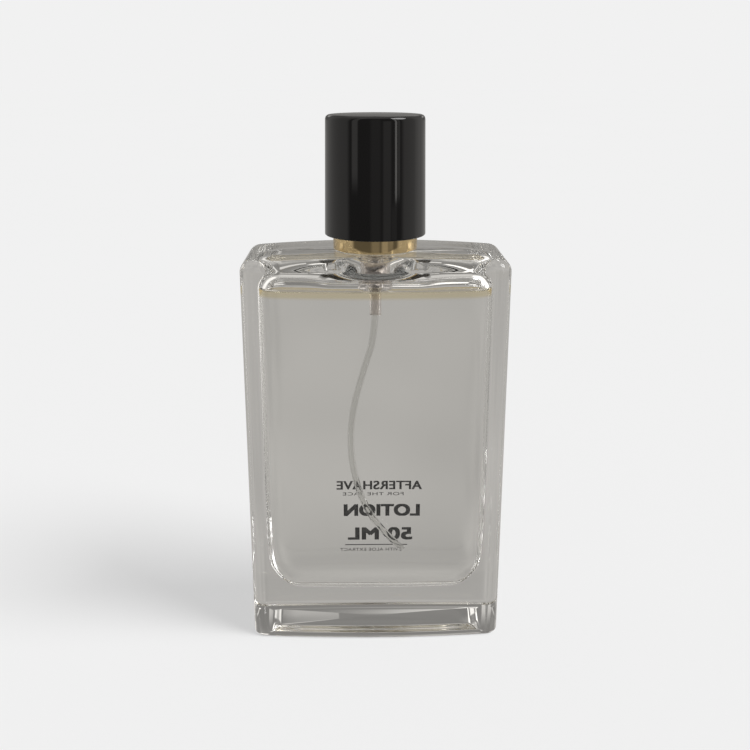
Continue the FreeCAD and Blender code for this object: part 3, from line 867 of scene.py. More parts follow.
@dataclass(frozen=True)
class BottleShape:
    """The bottle's sizes, and its outside and inside at any height."""

    half_width: float = 27.75
    half_depth: float = 12.65
    bulge: float = 1.35
    corner: float = 3.0
    shoulder_top: float = 87.0
    shoulder_rise: float = 0.9
    shoulder_fillet: float = 2.5
    base_fillet: float = 0.8
    stand_inset: float = 4.0
    push_up_inset: float = 6.5
    push_up_depth: float = 1.0
    neck_root: float = 8.3
    neck_radius: float = 6.5
    neck_flare: float = 1.6
    bead_radius: float = 7.4
    bead_low: float = 90.8
    bead_undercut: float = 0.8
    neck_top: float = 93.2
    lip_fillet: float = 0.4
    bore: float = 4.9
    cavity_half_width: float = 24.4
    cavity_half_depth: float = 8.55
    cavity_bulge: float = 1.9
    cavity_corner: float = 5.5
    floor: float = 9.3
    floor_round_in: float = 7.5
    floor_round_up: float = 9.0
    roof: float = 83.4
    roof_round_in: float = 6.0
    roof_round_up: float = 4.3
    roof_reach: float = 4.2
    roof_turn: float = 60.0
    roof_turn_added: float = 27.0
    roof_ends_from: float = 0.2
    roof_ends_over: float = 0.45
    taper: float = 0.8
    taper_height: float = 30.0
    liquid_level: float = 78.8
    liquid_climb: float = 0.75
    climb_length: float = 1.0
    liquid_gap: float = 0.02

    def outside(self) -> PlanShape:
        """The outline of the body's straight part."""
        return PlanShape(self.half_width, self.half_depth, self.bulge, self.corner)

    def inside(self, height: float, inset: float, shrink: float = 0.0) -> PlanShape:
        """The cavity's outline at a height.

        Args:
            height: The height above the table.
            inset: How far in from the straight walls it is.
            shrink: How much smaller than the cavity it is.

        Returns:
            The outline.
        """
        share = max(0.0, 1 - (height - self.floor) / self.taper_height)
        taper = self.taper * share**2
        half_depth = self.cavity_half_depth - inset - taper / 2
        scale = half_depth / self.cavity_half_depth
        return PlanShape(
            self.cavity_half_width - inset - taper - shrink,
            half_depth - shrink,
            self.cavity_bulge * scale,
            self.cavity_corner * scale,
        )

    def arch(self, across: np.ndarray) -> np.ndarray:
        """Height of the arched shoulder at distances across it."""
        radius = (self.half_width**2 + self.shoulder_rise**2) / (2 * self.shoulder_rise)
        return self.shoulder_top - radius + np.sqrt(radius**2 - across**2)

    def around(self, radius: float) -> np.ndarray:
        """A circle with one point on the ray of each point of the outside outline."""
        points = self.outside().points()
        turn = np.arctan2(points[:, 1], points[:, 0])
        return np.stack([np.cos(turn), np.sin(turn)], 1) * radius

    def roof_ring(self, share: float, shrink: float = 0.0) -> np.ndarray:
        """One ring of the domed roof, from the walls at share 0 to its flat middle at share 1.

        Args:
            share: How far round the dome the ring is.
            shrink: How much smaller than the cavity it is.

        Returns:
            The ring's points.
        """
        wall = self.inside(self.roof, 0.0, shrink)
        points = wall.points()
        across = np.abs(points[:, 0]) / self.cavity_half_width
        ends = eased((across - self.roof_ends_from) / self.roof_ends_over)
        full_turn = np.radians(self.roof_turn + self.roof_turn_added * ends)
        turn = share * full_turn
        drawn_in = self.roof_round_in * (1 - np.cos(turn))
        most = self.roof_round_in * (1 - np.cos(full_turn))
        drawn_in = drawn_in * np.minimum(1, self.roof_reach / most)
        outline = points - wall.normals() * drawn_in[:, None]
        base = self.roof - self.roof_round_up
        return lifted(outline, base - shrink + self.roof_round_up * np.sin(turn))


@dataclass
class GlassBody:
    """The glass bottle and the liquid in it."""

    shape: BottleShape
    side_rings: int = 16
    wall_rings: int = 26
    rounding_rings: int = 10
    base_rounding_rings: int = 7
    neck_rings: int = 8
    bore_rings: int = 5
    dome_rings: int = 12
    roof_rings: int = 16
    floor_rings: int = 18
    push_up_shares: tuple[float, ...] = (0.06, 0.3, 0.6, 0.85)
    stand_shares: tuple[float, ...] = (0.35, 0.7)
    floor_shares: tuple[float, ...] = (0.7, 0.35, 0.08)
    push_up_dome: float = 0.25
    neck_edge: float = 0.3
    root_lift: float = 0.1
    bore_flare: float = 0.35
    bore_foot: float = 1.4
    bore_mouth: float = 0.8
    bore_seam: float = 0.5
    dome_fall: float = 2.2
    wet_rings: int = 1
    climb_inset: float = 0.03
    climb_distances: tuple[float, ...] = (0.12, 0.3, 0.55, 0.9, 1.4, 2.1, 3.0, 4.2)
    surface_shares: tuple[float, ...] = (
        0.85, 0.7, 0.55, 0.42, 0.33, 0.26, 0.2, 0.15, 0.11, 0.07, 0.03
    )
    pump_climb: float = 0.3
    pump_climb_from: float = 2.1
    pump_climb_length: float = 0.7

    def glass(self) -> bpy.types.Object:
        """Build the glass from the middle of its base, up, over the lip and down inside.

        Returns:
            The glass bottle.
        """
        s = self.shape
        stack = RingStack()
        self._base(stack)
        base_top = s.base_fillet
        side_top = s.shoulder_top - s.shoulder_rise - s.shoulder_fillet
        outline = s.outside().points()
        for step in range(1, self.side_rings):
            share = step / self.side_rings
            stack.add(lifted(outline, base_top + (side_top - base_top) * share))
        self._shoulder(stack)
        self._neck(stack)
        self._roof(stack)
        self._walls(stack)
        piece = finished_object("glass_body", stack.mesh("glass_body"), (GLASS, GLASS_DRY, GLASS_WET))
        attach(piece, Body.BOTTLE.value)
        piece.visible_diffuse = False
        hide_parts("glass_bottle")
        return piece

    def _base(self, stack: RingStack) -> None:
        """Rings of the push-up, the flat ring it stands on and the lower edge.

        Args:
            stack: The rings so far, added to here.
        """
        s = self.shape
        middle = s.outside().inset(s.push_up_inset).points()
        for share in self.push_up_shares:
            height = s.push_up_depth + self.push_up_dome * (1 - share**2)
            stack.add(lifted(middle * share, height))
        for step in range(self.rounding_rings + 1):
            share = step / self.rounding_rings
            inset = s.push_up_inset + (s.stand_inset - s.push_up_inset) * share
            height = s.push_up_depth * float(1 - eased(share))
            stack.add(lifted(s.outside().inset(inset).points(), height))
        for share in self.stand_shares:
            inset = s.stand_inset + (s.base_fillet - s.stand_inset) * share
            stack.add(lifted(s.outside().inset(inset).points(), 0.0))
        for step in range(self.base_rounding_rings + 1):
            turn = math.pi / 2 * step / self.base_rounding_rings
            inset = s.base_fillet * (1 - math.sin(turn))
            height = s.base_fillet * (1 - math.cos(turn))
            stack.add(lifted(s.outside().inset(inset).points(), height))

    def _shoulder(self, stack: RingStack) -> None:
        """Rings of the rounded shoulder edge and of the arched top, in to the neck's root.

        Args:
            stack: The rings so far, added to here.
        """
        s = self.shape
        for step in range(self.rounding_rings + 1):
            turn = math.pi / 2 * step / self.rounding_rings
            outline = s.outside().inset(s.shoulder_fillet * (1 - math.cos(turn))).points()
            drop = s.shoulder_fillet * (1 - math.sin(turn))
            stack.add(lifted(outline, s.arch(outline[:, 0]) - drop))
        edge = s.outside().inset(s.shoulder_fillet).points()
        root = s.around(s.neck_root)
        for step in range(1, self.rounding_rings + 1):
            outline = edge + (root - edge) * step / self.rounding_rings
            stack.add(lifted(outline, s.arch(outline[:, 0])))

    def _neck(self, stack: RingStack) -> None:
        """Rings of the neck's root, groove, bead, lip and bore.

        Args:
            stack: The rings so far, added to here.
        """
        s = self.shape
        for step in range(1, self.neck_rings + 1):
            turn = math.pi / 2 * step / self.neck_rings
            radius = s.neck_radius + (s.neck_root - s.neck_radius) * (1 - math.sin(turn))
            outline = s.around(radius)
            stack.add(lifted(outline, s.arch(outline[:, 0]) + s.neck_flare * (1 - math.cos(turn))))
        groove = s.bead_low - s.bead_undercut
        corners = (
            (s.neck_radius, s.shoulder_top + s.neck_flare + self.root_lift),
            (s.neck_radius, groove, self.neck_edge),
            (s.bead_radius, s.bead_low, self.neck_edge),
            (s.bead_radius, s.neck_top, s.lip_fillet),
            (s.bore, s.neck_top, s.lip_fillet),
            (s.bore, s.roof + self.bore_foot),
        )
        for radius, height in rounded_profile(corners, self.bore_rings):
            slot = 0 if radius > s.bore + self.bore_seam else 1
            stack.add(lifted(s.around(radius), height), slot)
        for step in range(1, self.bore_rings + 1):
            share = step / self.bore_rings
            outline = s.around(s.bore + self.bore_flare * share**2)
            height = s.roof + self.bore_foot - self.bore_mouth * share
            stack.add(lifted(outline, height), 1)

    def _roof(self, stack: RingStack) -> None:
        """Rings from the bore out over the domed roof to the walls.

        Args:
            stack: The rings so far, added to here.
        """
        s = self.shape
        mouth = s.roof + self.bore_foot - self.bore_mouth
        bore = lifted(s.around(s.bore + self.bore_flare), mouth)
        dome = s.roof_ring(1.0)
        for step in range(1, self.dome_rings + 1):
            share = step / self.dome_rings
            ring = bore + (dome - bore) * share
            ring[:, 2] = dome[:, 2] + (bore[:, 2] - dome[:, 2]) * (1 - share) ** self.dome_fall
            stack.add(ring, 1)
        for step in reversed(range(self.roof_rings)):
            stack.add(s.roof_ring(step / self.roof_rings), 1 if step > self.wet_rings else 2)

    def _walls(self, stack: RingStack) -> None:
        """Rings of the straight walls and of the rounded floor.

        Args:
            stack: The rings so far, added to here.
        """
        s = self.shape
        high = s.roof - s.roof_round_up
        low = s.floor + s.floor_round_up
        for step in range(1, self.wall_rings + 1):
            height = high + (low - high) * step / self.wall_rings
            stack.add(lifted(s.inside(height, 0.0).points(), height), 2)
        for step in reversed(range(self.floor_rings)):
            turn = math.pi / 2 * step / self.floor_rings
            height = s.floor + s.floor_round_up * (1 - math.cos(turn))
            inset = s.floor_round_in * (1 - math.sin(turn))
            stack.add(lifted(s.inside(height, inset).points(), height), 2)
        middle = s.inside(s.floor, s.floor_round_in).points()
        for share in self.floor_shares:
            stack.add(lifted(middle * share, s.floor), 2)

    def liquid(self) -> bpy.types.Object:
        """Build the liquid, with its edge drawn up the glass and round the pump.

        Returns:
            The liquid.
        """
        s = self.shape
        gap = s.liquid_gap
        stack = RingStack()
        middle = s.inside(s.floor, s.floor_round_in, gap).points()
        for share in reversed(self.floor_shares):
            stack.add(lifted(middle * share, s.floor + gap), 1)
        for step in range(self.floor_rings + 1):
            turn = math.pi / 2 * step / self.floor_rings
            height = s.floor + gap + s.floor_round_up * (1 - math.cos(turn))
            inset = s.floor_round_in * (1 - math.sin(turn))
            stack.add(lifted(s.inside(height, inset, gap).points(), height), 1)
        low = s.floor + s.floor_round_up
        high = s.roof - s.roof_round_up
        for step in range(1, self.wall_rings + 1):
            height = low + (high - low) * step / self.wall_rings
            stack.add(lifted(s.inside(height, 0.0, gap).points(), height), 1)
        self._surface(stack)
        piece = finished_object("liquid", stack.mesh("liquid"), (LIQUID_TOP, LIQUID_SIDE))
        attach(piece, Body.BOTTLE.value)
        piece.visible_diffuse = False
        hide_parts("aftershave_liquid")
        return piece

    def _surface(self, stack: RingStack) -> None:
        """Rings of the liquid's surface, from its climb up the glass in to the middle.

        Args:
            stack: The rings so far, added to here.
        """
        s = self.shape
        wall = s.inside(s.roof, 0.0, s.liquid_gap)
        points, out = wall.points(), wall.normals()
        top = s.liquid_level + s.liquid_climb
        stack.add(lifted(points, (top + s.roof - s.roof_round_up) / 2), 1)
        stack.add(lifted(points - out * self.climb_inset, top), 1)
        for distance in self.climb_distances:
            climb = s.liquid_climb * math.exp(-distance / s.climb_length)
            stack.add(lifted(points - out * distance, s.liquid_level + climb), 0)
        edge = points - out * self.climb_distances[-1]
        for share in self.surface_shares:
            ring = edge * share
            radius = np.linalg.norm(ring, axis=1)
            away = np.maximum(radius - self.pump_climb_from, 0)
            climb = self.pump_climb * np.exp(-away / self.pump_climb_length)
            stack.add(lifted(ring, s.liquid_level + climb), 0)

    def build(self) -> list[bpy.types.Object]:
        """Build the glass and the liquid."""
        return [self.glass(), self.liquid()]


# ---- Print -----------------------------------------------------------------------------------------
@dataclass(frozen=True)
class PrintLine:
    """One line of lettering: its words, its middle and width across, and its low edge and height."""

    words: str
    middle: float
    width: float
    low: float
    height: float
    weight: float = 0.0


@dataclass
class FrontPrint:
    """Black lettering on the bowed front."""

    shape: BottleShape
    lines: tuple[PrintLine, ...] = (
        PrintLine("AFTERSHAVE", 1.0, 19.6, 29.2, 2.2, 0.1),
        PrintLine("FOR THE FACE", -0.4, 14.0, 27.7, 0.8),
        PrintLine("LOTION", 1.6, 17.6, 22.4, 3.1, 0.24),
        PrintLine("50 ML", 1.2, 15.0, 16.2, 3.3, 0.24),
        PrintLine("WITH ALOE EXTRACT", -1.0, 14.2, 13.2, 0.8),
    )
    rule: tuple[float, float, float, float] = (0.3, 14.5, 14.8, 0.22)
    lift: float = 0.004
    thickness: float = 0.034
    spacing: float = 1.06
    copy_drop: float = 0.003
    letter_depth: float = 0.01
    letter_steps: int = 5

    def _laid(self, points: np.ndarray) -> np.ndarray:
        """Bend flat points (across, up, out) onto the front, read from outside the bottle."""
        across = -points[:, 0]
        out = self.shape.outside().face_y(across) + self.lift + points[:, 2]
        return np.column_stack([across, out, points[:, 1]])

    def _line(self, line: PrintLine) -> tuple[np.ndarray, list[tuple[int, ...]]]:
        """The solid letters of one line, laid on the glass.

        Args:
            line: What it says and where it is.

        Returns:
            The points in millimetres and the faces.
        """
        curve = bpy.data.curves.new("lettering", "FONT")
        curve.body = line.words
        curve.size = 1.0
        curve.extrude = self.letter_depth
        curve.resolution_u = self.letter_steps
        curve.space_character = self.spacing
        holder = bpy.data.objects.new("lettering", curve)
        bpy.context.scene.collection.objects.link(holder)
        bpy.context.view_layer.update()
        evaluated = holder.evaluated_get(bpy.context.evaluated_depsgraph_get())
        mesh = bpy.data.meshes.new_from_object(evaluated)
        points = np.array([v.co for v in mesh.vertices], float)
        faces = [tuple(p.vertices) for p in mesh.polygons]
        bpy.data.objects.remove(holder)
        bpy.data.curves.remove(curve)
        bpy.data.meshes.remove(mesh)
        low, high = points.min(0), points.max(0)
        share = (points - low) / (high - low)
        count = len(points)
        laid = []
        doubled = []
        passes = ((-1, -1), (1, -1), (-1, 1), (1, 1), (0, 0)) if line.weight else ((0, 0),)
        for index, (across, up) in enumerate(passes):
            flat = np.column_stack(
                [
                    -line.middle + (share[:, 0] - 0.5) * (line.width - 2 * line.weight),
                    line.low + line.weight / 2 + share[:, 1] * (line.height - line.weight),
                    share[:, 2] * (self.thickness - self.copy_drop * index),
                ]
            )
            flat[:, 0] += across * line.weight
            flat[:, 1] += up * line.weight / 2
            laid.append(flat)
            doubled += [tuple(corner + count * index for corner in face) for face in faces]
        return self._laid(np.concatenate(laid)), doubled

    def _rule(self, steps: int = 24) -> tuple[np.ndarray, list[tuple[int, ...]]]:
        """The thin rule under the lettering, as a bent bar.

        Args:
            steps: How many pieces it bends in.

        Returns:
            The points in millimetres and the faces.
        """
        middle, width, low, height = self.rule
        points = []
        for step in range(steps + 1):
            across = -middle + (step / steps - 0.5) * width
            for up, out in ((0, 0), (height, 0), (height, self.thickness), (0, self.thickness)):
                points.append((across, low + up, out))
        faces = []
        for step in range(steps):
            for side in range(4):
                here, ahead = step * 4 + side, step * 4 + (side + 1) % 4
                faces.append((here, ahead, ahead + 4, here + 4))
        last = steps * 4
        faces.append((3, 2, 1, 0))
        faces.append((last, last + 1, last + 2, last + 3))
        return self._laid(np.array(points, float)), faces

    def build(self) -> list[bpy.types.Object]:
        """Lay every line and the rule on the glass as one piece of ink.

        Returns:
            The ink, alone in its list.
        """
        points: list[np.ndarray] = []
        faces: list[tuple[int, ...]] = []
        count = 0
        for made, polygons in [self._line(line) for line in self.lines] + [self._rule()]:
            points.append(made)
            faces += [tuple(index + count for index in polygon) for polygon in polygons]
            count += len(made)
        mesh = bpy.data.meshes.new("lettering_ink")
        mesh.from_pydata((np.concatenate(points) * MM).tolist(), [], faces)
        mesh.update()
        piece = finished_object("lettering_ink", mesh, (INK,))
        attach(piece, Body.BOTTLE.value)
        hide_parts("front_print")
        return [piece]


# ---- Repeats made by rule --------------------------------------------------------------------------
class RuleTree:
    """A geometry tree with named sizes that ends in Realize Instances and Set Material."""

    def __init__(self, name: str, sizes: dict[str, float]) -> None:
        """Start a tree.

        Args:
            name: The tree's name.
            sizes: The named inputs, with their values.
        """
        self.tree = bpy.data.node_groups.new(name, "GeometryNodeTree")
        self.tree.interface.new_socket(
            "Geometry", in_out="INPUT", socket_type="NodeSocketGeometry"
        )
        self.values: dict[str, object] = {}
        for label, value in sizes.items():
            kind = "NodeSocketInt" if isinstance(value, int) else "NodeSocketFloat"
            socket = self.tree.interface.new_socket(label, in_out="INPUT", socket_type=kind)
            self.values[socket.identifier] = value
        socket = self.tree.interface.new_socket(
            "Finish", in_out="INPUT", socket_type="NodeSocketMaterial"
        )
        self.finish_id = socket.identifier
        self.tree.interface.new_socket(
            "Geometry", in_out="OUTPUT", socket_type="NodeSocketGeometry"
        )
        self.sheet = NodeSheet(self.tree)
        self.start = self.sheet.add("NodeGroupInput")
        self.end = self.sheet.add("NodeGroupOutput")

    def size(self, label: str) -> bpy.types.NodeSocket:
        """The socket of a named size."""
        return self.start.outputs[label]

    def close(self, geometry: bpy.types.NodeSocket) -> None:
        """Lead the geometry out through Realize Instances and Set Material.

        Args:
            geometry: The last socket of the rule.
        """
        real = self.sheet.add("GeometryNodeRealizeInstances")
        dress = self.sheet.add("GeometryNodeSetMaterial")
        self.sheet.join(geometry, real.inputs["Geometry"])
        self.sheet.join(real.outputs["Geometry"], dress.inputs["Geometry"])
        self.sheet.join(self.start.outputs["Finish"], dress.inputs["Material"])
        self.sheet.join(dress.outputs["Geometry"], self.end.inputs["Geometry"])

    def bake(self, name: str, finish: Finish) -> bpy.types.Mesh:
        """Evaluate the tree into a plain mesh.

        Args:
            name: The mesh's name.
            finish: What it is dressed with.

        Returns:
            The plain mesh, with no modifier left.
        """
        holder = bpy.data.objects.new(name, bpy.data.meshes.new(name))
        bpy.context.scene.collection.objects.link(holder)
        modifier = holder.modifiers.new("Rule", "NODES")
        modifier.node_group = self.tree
        for identifier, value in self.values.items():
            modifier[identifier] = value
        modifier[self.finish_id] = finish.build()
        bpy.context.view_layer.update()
        evaluated = holder.evaluated_get(bpy.context.evaluated_depsgraph_get())
        mesh = bpy.data.meshes.new_from_object(evaluated)
        bpy.data.objects.remove(holder)
        return mesh


@dataclass(frozen=True)
class CoilSpring:
    """A compression spring that stands between two heights."""

    name: str
    node: str
    body: Body
    radius: float
    wire: float
    turns: float
    low: float
    high: float
    motion: str
    travel: float
    held_at_top: bool = False
    turn_points: int = 48
    wire_points: int = 14

    def build(self) -> bpy.types.Object:
        """Wind the wire round the axis.

        Returns:
            The spring.
        """
        rule = RuleTree(
            self.name + "_rule",
            {
                "Turns": self.turns,
                "Radius": self.radius * MM,
                "Rise": (self.high - self.low - self.wire) * MM,
                "Wire": self.wire / 2 * MM,
                "Start": (self.low + self.wire / 2) * MM,
            },
        )
        sheet = rule.sheet
        helix = sheet.add("GeometryNodeCurveSpiral", {"Resolution": self.turn_points})
        sheet.join(rule.size("Turns"), helix.inputs["Rotations"])
        sheet.join(rule.size("Radius"), helix.inputs["Start Radius"])
        sheet.join(rule.size("Radius"), helix.inputs["End Radius"])
        sheet.join(rule.size("Rise"), helix.inputs["Height"])
        section = sheet.add("GeometryNodeCurvePrimitiveCircle", {"Resolution": self.wire_points})
        sheet.join(rule.size("Wire"), section.inputs["Radius"])
        wound = sheet.add("GeometryNodeCurveToMesh", {"Fill Caps": True})
        sheet.join(helix.outputs["Curve"], wound.inputs["Curve"])
        sheet.join(section.outputs["Curve"], wound.inputs["Profile Curve"])
        place = sheet.add("ShaderNodeCombineXYZ")
        sheet.join(rule.size("Start"), place.inputs["Z"])
        moved = sheet.add("GeometryNodeTransform")
        sheet.join(wound.outputs["Mesh"], moved.inputs["Geometry"])
        sheet.join(place.outputs["Vector"], moved.inputs["Translation"])
        rule.close(moved.outputs["Geometry"])
        piece = finished_object(self.name, rule.bake(self.name, STEEL), (STEEL,))
        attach(piece, self.body.value)
        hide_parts(self.node)
        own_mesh(piece)
        return piece


# ---- Crimp and collar ------------------------------------------------------------------------------
@dataclass
class CollarSet:
    """The gold collar, its liner, the crimped ferrule and the gasket."""

    bottom: float = 87.1
    top: float = 97.0
    radius: float = 8.85
    sheet: float = 0.35
    opening: float = 7.1
    edge: float = 0.32
    liner_inner: float = 7.85
    liner_outer: float = 8.48
    liner_lift: float = 0.4
    ferrule_top: float = 95.4
    gap: float = 0.02
    inner_edge: float = 0.2
    low_edge: float = 0.06
    steps: int = 224

    def collar(self) -> bpy.types.Object:
        """Spin the collar, with its rolled top edge.

        Returns:
            The collar.
        """
        inner = self.radius - self.sheet
        profile = (
            (inner, self.bottom, self.low_edge),
            (self.radius, self.bottom, EDGE_BROKEN),
            (self.radius, self.top, self.edge),
            (self.opening, self.top, EDGE_BROKEN),
            (self.opening, self.top - self.sheet, EDGE_CRISP),
            (inner, self.top - self.sheet, self.inner_edge),
        )
        mesh = turned_mesh("gold_collar", profile, self.steps)
        piece = finished_object("gold_collar", mesh, (GOLD_METAL,))
        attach(piece, Body.BOTTLE.value)
        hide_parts("collar")
        return piece

    def liner(self) -> bpy.types.Object:
        """Turn the plastic ring under the collar.

        Returns:
            The liner.
        """
        top = self.top - self.sheet - self.gap
        low = self.ferrule_top + self.gap
        profile = (
            (self.liner_inner, self.bottom + self.liner_lift, EDGE_SOFT),
            (self.liner_outer, self.bottom + self.liner_lift, EDGE_SOFT),
            (self.liner_outer, top, EDGE_ROUND),
            (self.opening + self.gap, top, EDGE_BROKEN),
            (self.opening + self.gap, low, EDGE_BROKEN),
            (self.liner_inner, low, EDGE_BROKEN),
        )
        piece = finished_object("collar_ring", turned_mesh("collar_ring", profile), (WHITE_PLASTIC,))
        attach(piece, Body.BOTTLE.value)
        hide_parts("collar_liner")
        return piece

    def build(self) -> list[bpy.types.Object]:
        """Build the collar and its liner."""
        return [self.collar(), self.liner()]


# ---- Pump ------------------------------------------------------------------------------------------
@dataclass
class PumpSet:
    """The pump's housing, its springs and the bent dip tube."""

    housing_radius: float = 3.65
    chamber: float = 2.85
    flange: tuple[float, float, float] = (7.2, 94.0, 95.0)
    tower: tuple[float, float, float] = (4.2, 3.2, 97.2)
    turret_low: float = 94.2
    housing_low: float = 79.8
    cone_low: float = 78.3
    nipple: tuple[float, float] = (1.23, 73.4)
    ledge: float = 82.3
    well: tuple[float, float] = (1.45, 80.5)
    inlet: tuple[float, float] = (0.55, 79.6)
    socket: tuple[float, float] = (0.76, 78.2)
    tube_radius: float = 0.75
    tube_bore: float = 0.45
    tube_foot: float = 9.3
    tube_half_width: float = 24.4
    tube_half_depth: float = 8.55
    route: tuple[tuple[float, float, float], ...] = (
        (0.0, 0.0, 1.0),
        (0.0, 0.0, 0.869),
        (-0.105, 0.19, 0.747),
        (-0.201, 0.34, 0.617),
        (-0.230, 0.49, 0.489),
        (-0.191, 0.62, 0.366),
        (-0.090, 0.72, 0.250),
        (0.090, 0.80, 0.152),
        (0.258, 0.80, 0.094),
    )
    tube_rings: int = 150
    tube_order: int = 3
    tube_steps: int = 24
    least_step: float = 1e-4
    steps: int = 128
    cone_round: float = 0.5
    ledge_round: float = 0.2
    seat_edge: float = 0.02
    main_spring: CoilSpring = CoilSpring(
        "return_spring", "main_spring", Body.BOTTLE, radius=2.44, wire=0.42, turns=5.0,
        low=82.32, high=88.88, motion="pump_press", travel=3.8,
    )
    seat_spring: CoilSpring = CoilSpring(
        "seat_spring", "precompression_spring", Body.PLUNGER, radius=1.9, wire=0.3, turns=2.5,
        low=92.02, high=93.38, motion="piston_lift", travel=0.35, held_at_top=True,
    )

    def housing(self) -> bpy.types.Object:
        """Turn the pump's housing, from its flange down to the nipple.

        Returns:
            The housing.
        """
        flange, flange_low, flange_top = self.flange
        tower, tower_bore, tower_top = self.tower
        nipple, nipple_low = self.nipple
        well, seat = self.well
        inlet, inlet_top = self.inlet
        socket, socket_top = self.socket
        profile = (
            (nipple, nipple_low, EDGE_SOFT),
            (nipple, self.cone_low, EDGE_ROUND),
            (self.housing_radius, self.housing_low, self.cone_round),
            (self.housing_radius, flange_low, EDGE_BROKEN),
            (flange, flange_low, EDGE_BROKEN),
            (flange, flange_top, self.ledge_round),
            (tower, flange_top, EDGE_BROKEN),
            (tower, tower_top, EDGE_SOFT),
            (tower_bore, tower_top, EDGE_CRISP),
            (tower_bore, self.turret_low, self.seat_edge),
            (self.chamber, self.turret_low, EDGE_CRISP),
            (self.chamber, self.ledge, self.ledge_round),
            (well, self.ledge, EDGE_BROKEN),
            (well, seat, EDGE_BROKEN),
            (inlet, inlet_top, EDGE_BROKEN),
            (inlet, socket_top, self.seat_edge),
            (socket, socket_top, self.seat_edge),
            (socket, nipple_low, EDGE_CRISP),
        )
        mesh = turned_mesh("pump_body", profile, self.steps)
        piece = finished_object("pump_body", mesh, (HOUSING_PLASTIC,))
        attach(piece, Body.BOTTLE.value)
        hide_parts("pump_housing")
        return piece

    def _tube_line(self) -> np.ndarray:
        """The tube's smooth middle line, read from a spline through its bends.

        Returns:
            Evenly spaced points in millimetres.
        """
        height = self.socket[1] - self.tube_foot
        curve = bpy.data.curves.new("tube_route", "CURVE")
        curve.dimensions = "3D"
        spline = curve.splines.new("NURBS")
        spline.points.add(len(self.route) - 1)
        for point, (across, deep, up) in zip(spline.points, self.route):
            point.co = (
                self.tube_half_width * across,
                self.tube_half_depth * deep,
                self.tube_foot + height * up,
                1.0,
            )
        spline.order_u = self.tube_order
        spline.use_endpoint_u = True
        spline.resolution_u = self.tube_steps
        holder = bpy.data.objects.new("tube_route", curve)
        bpy.context.scene.collection.objects.link(holder)
        bpy.context.view_layer.update()
        evaluated = holder.evaluated_get(bpy.context.evaluated_depsgraph_get())
        mesh = bpy.data.meshes.new_from_object(evaluated)
        points = np.array([v.co for v in mesh.vertices], float)
        bpy.data.objects.remove(holder)
        bpy.data.meshes.remove(mesh)
        bpy.data.curves.remove(curve)
        steps = np.linalg.norm(np.diff(points, axis=0), axis=1)
        points = points[np.concatenate([[True], steps > self.least_step])]
        along = np.concatenate([[0], np.cumsum(np.linalg.norm(np.diff(points, axis=0), axis=1))])
        even = np.linspace(0, along[-1], self.tube_rings)
        return np.column_stack([np.interp(even, along, points[:, axis]) for axis in range(3)])

    def dip_tube(self) -> bpy.types.Object:
        """Sweep the dip tube's wall along its bent line.

        Returns:
            The dip tube.
        """
        mesh = swept_mesh("dip_pipe", self._tube_line(), (self.tube_radius, self.tube_bore))
        piece = finished_object("dip_pipe", mesh, (TUBE_PLASTIC,))
        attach(piece, Body.BOTTLE.value)
        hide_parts("dip_tube")
        return piece

    def build(self) -> list[bpy.types.Object]:
        """Build the housing, the tube and both springs."""
        return [self.housing(), self.dip_tube(), self.main_spring.build(), self.seat_spring.build()]


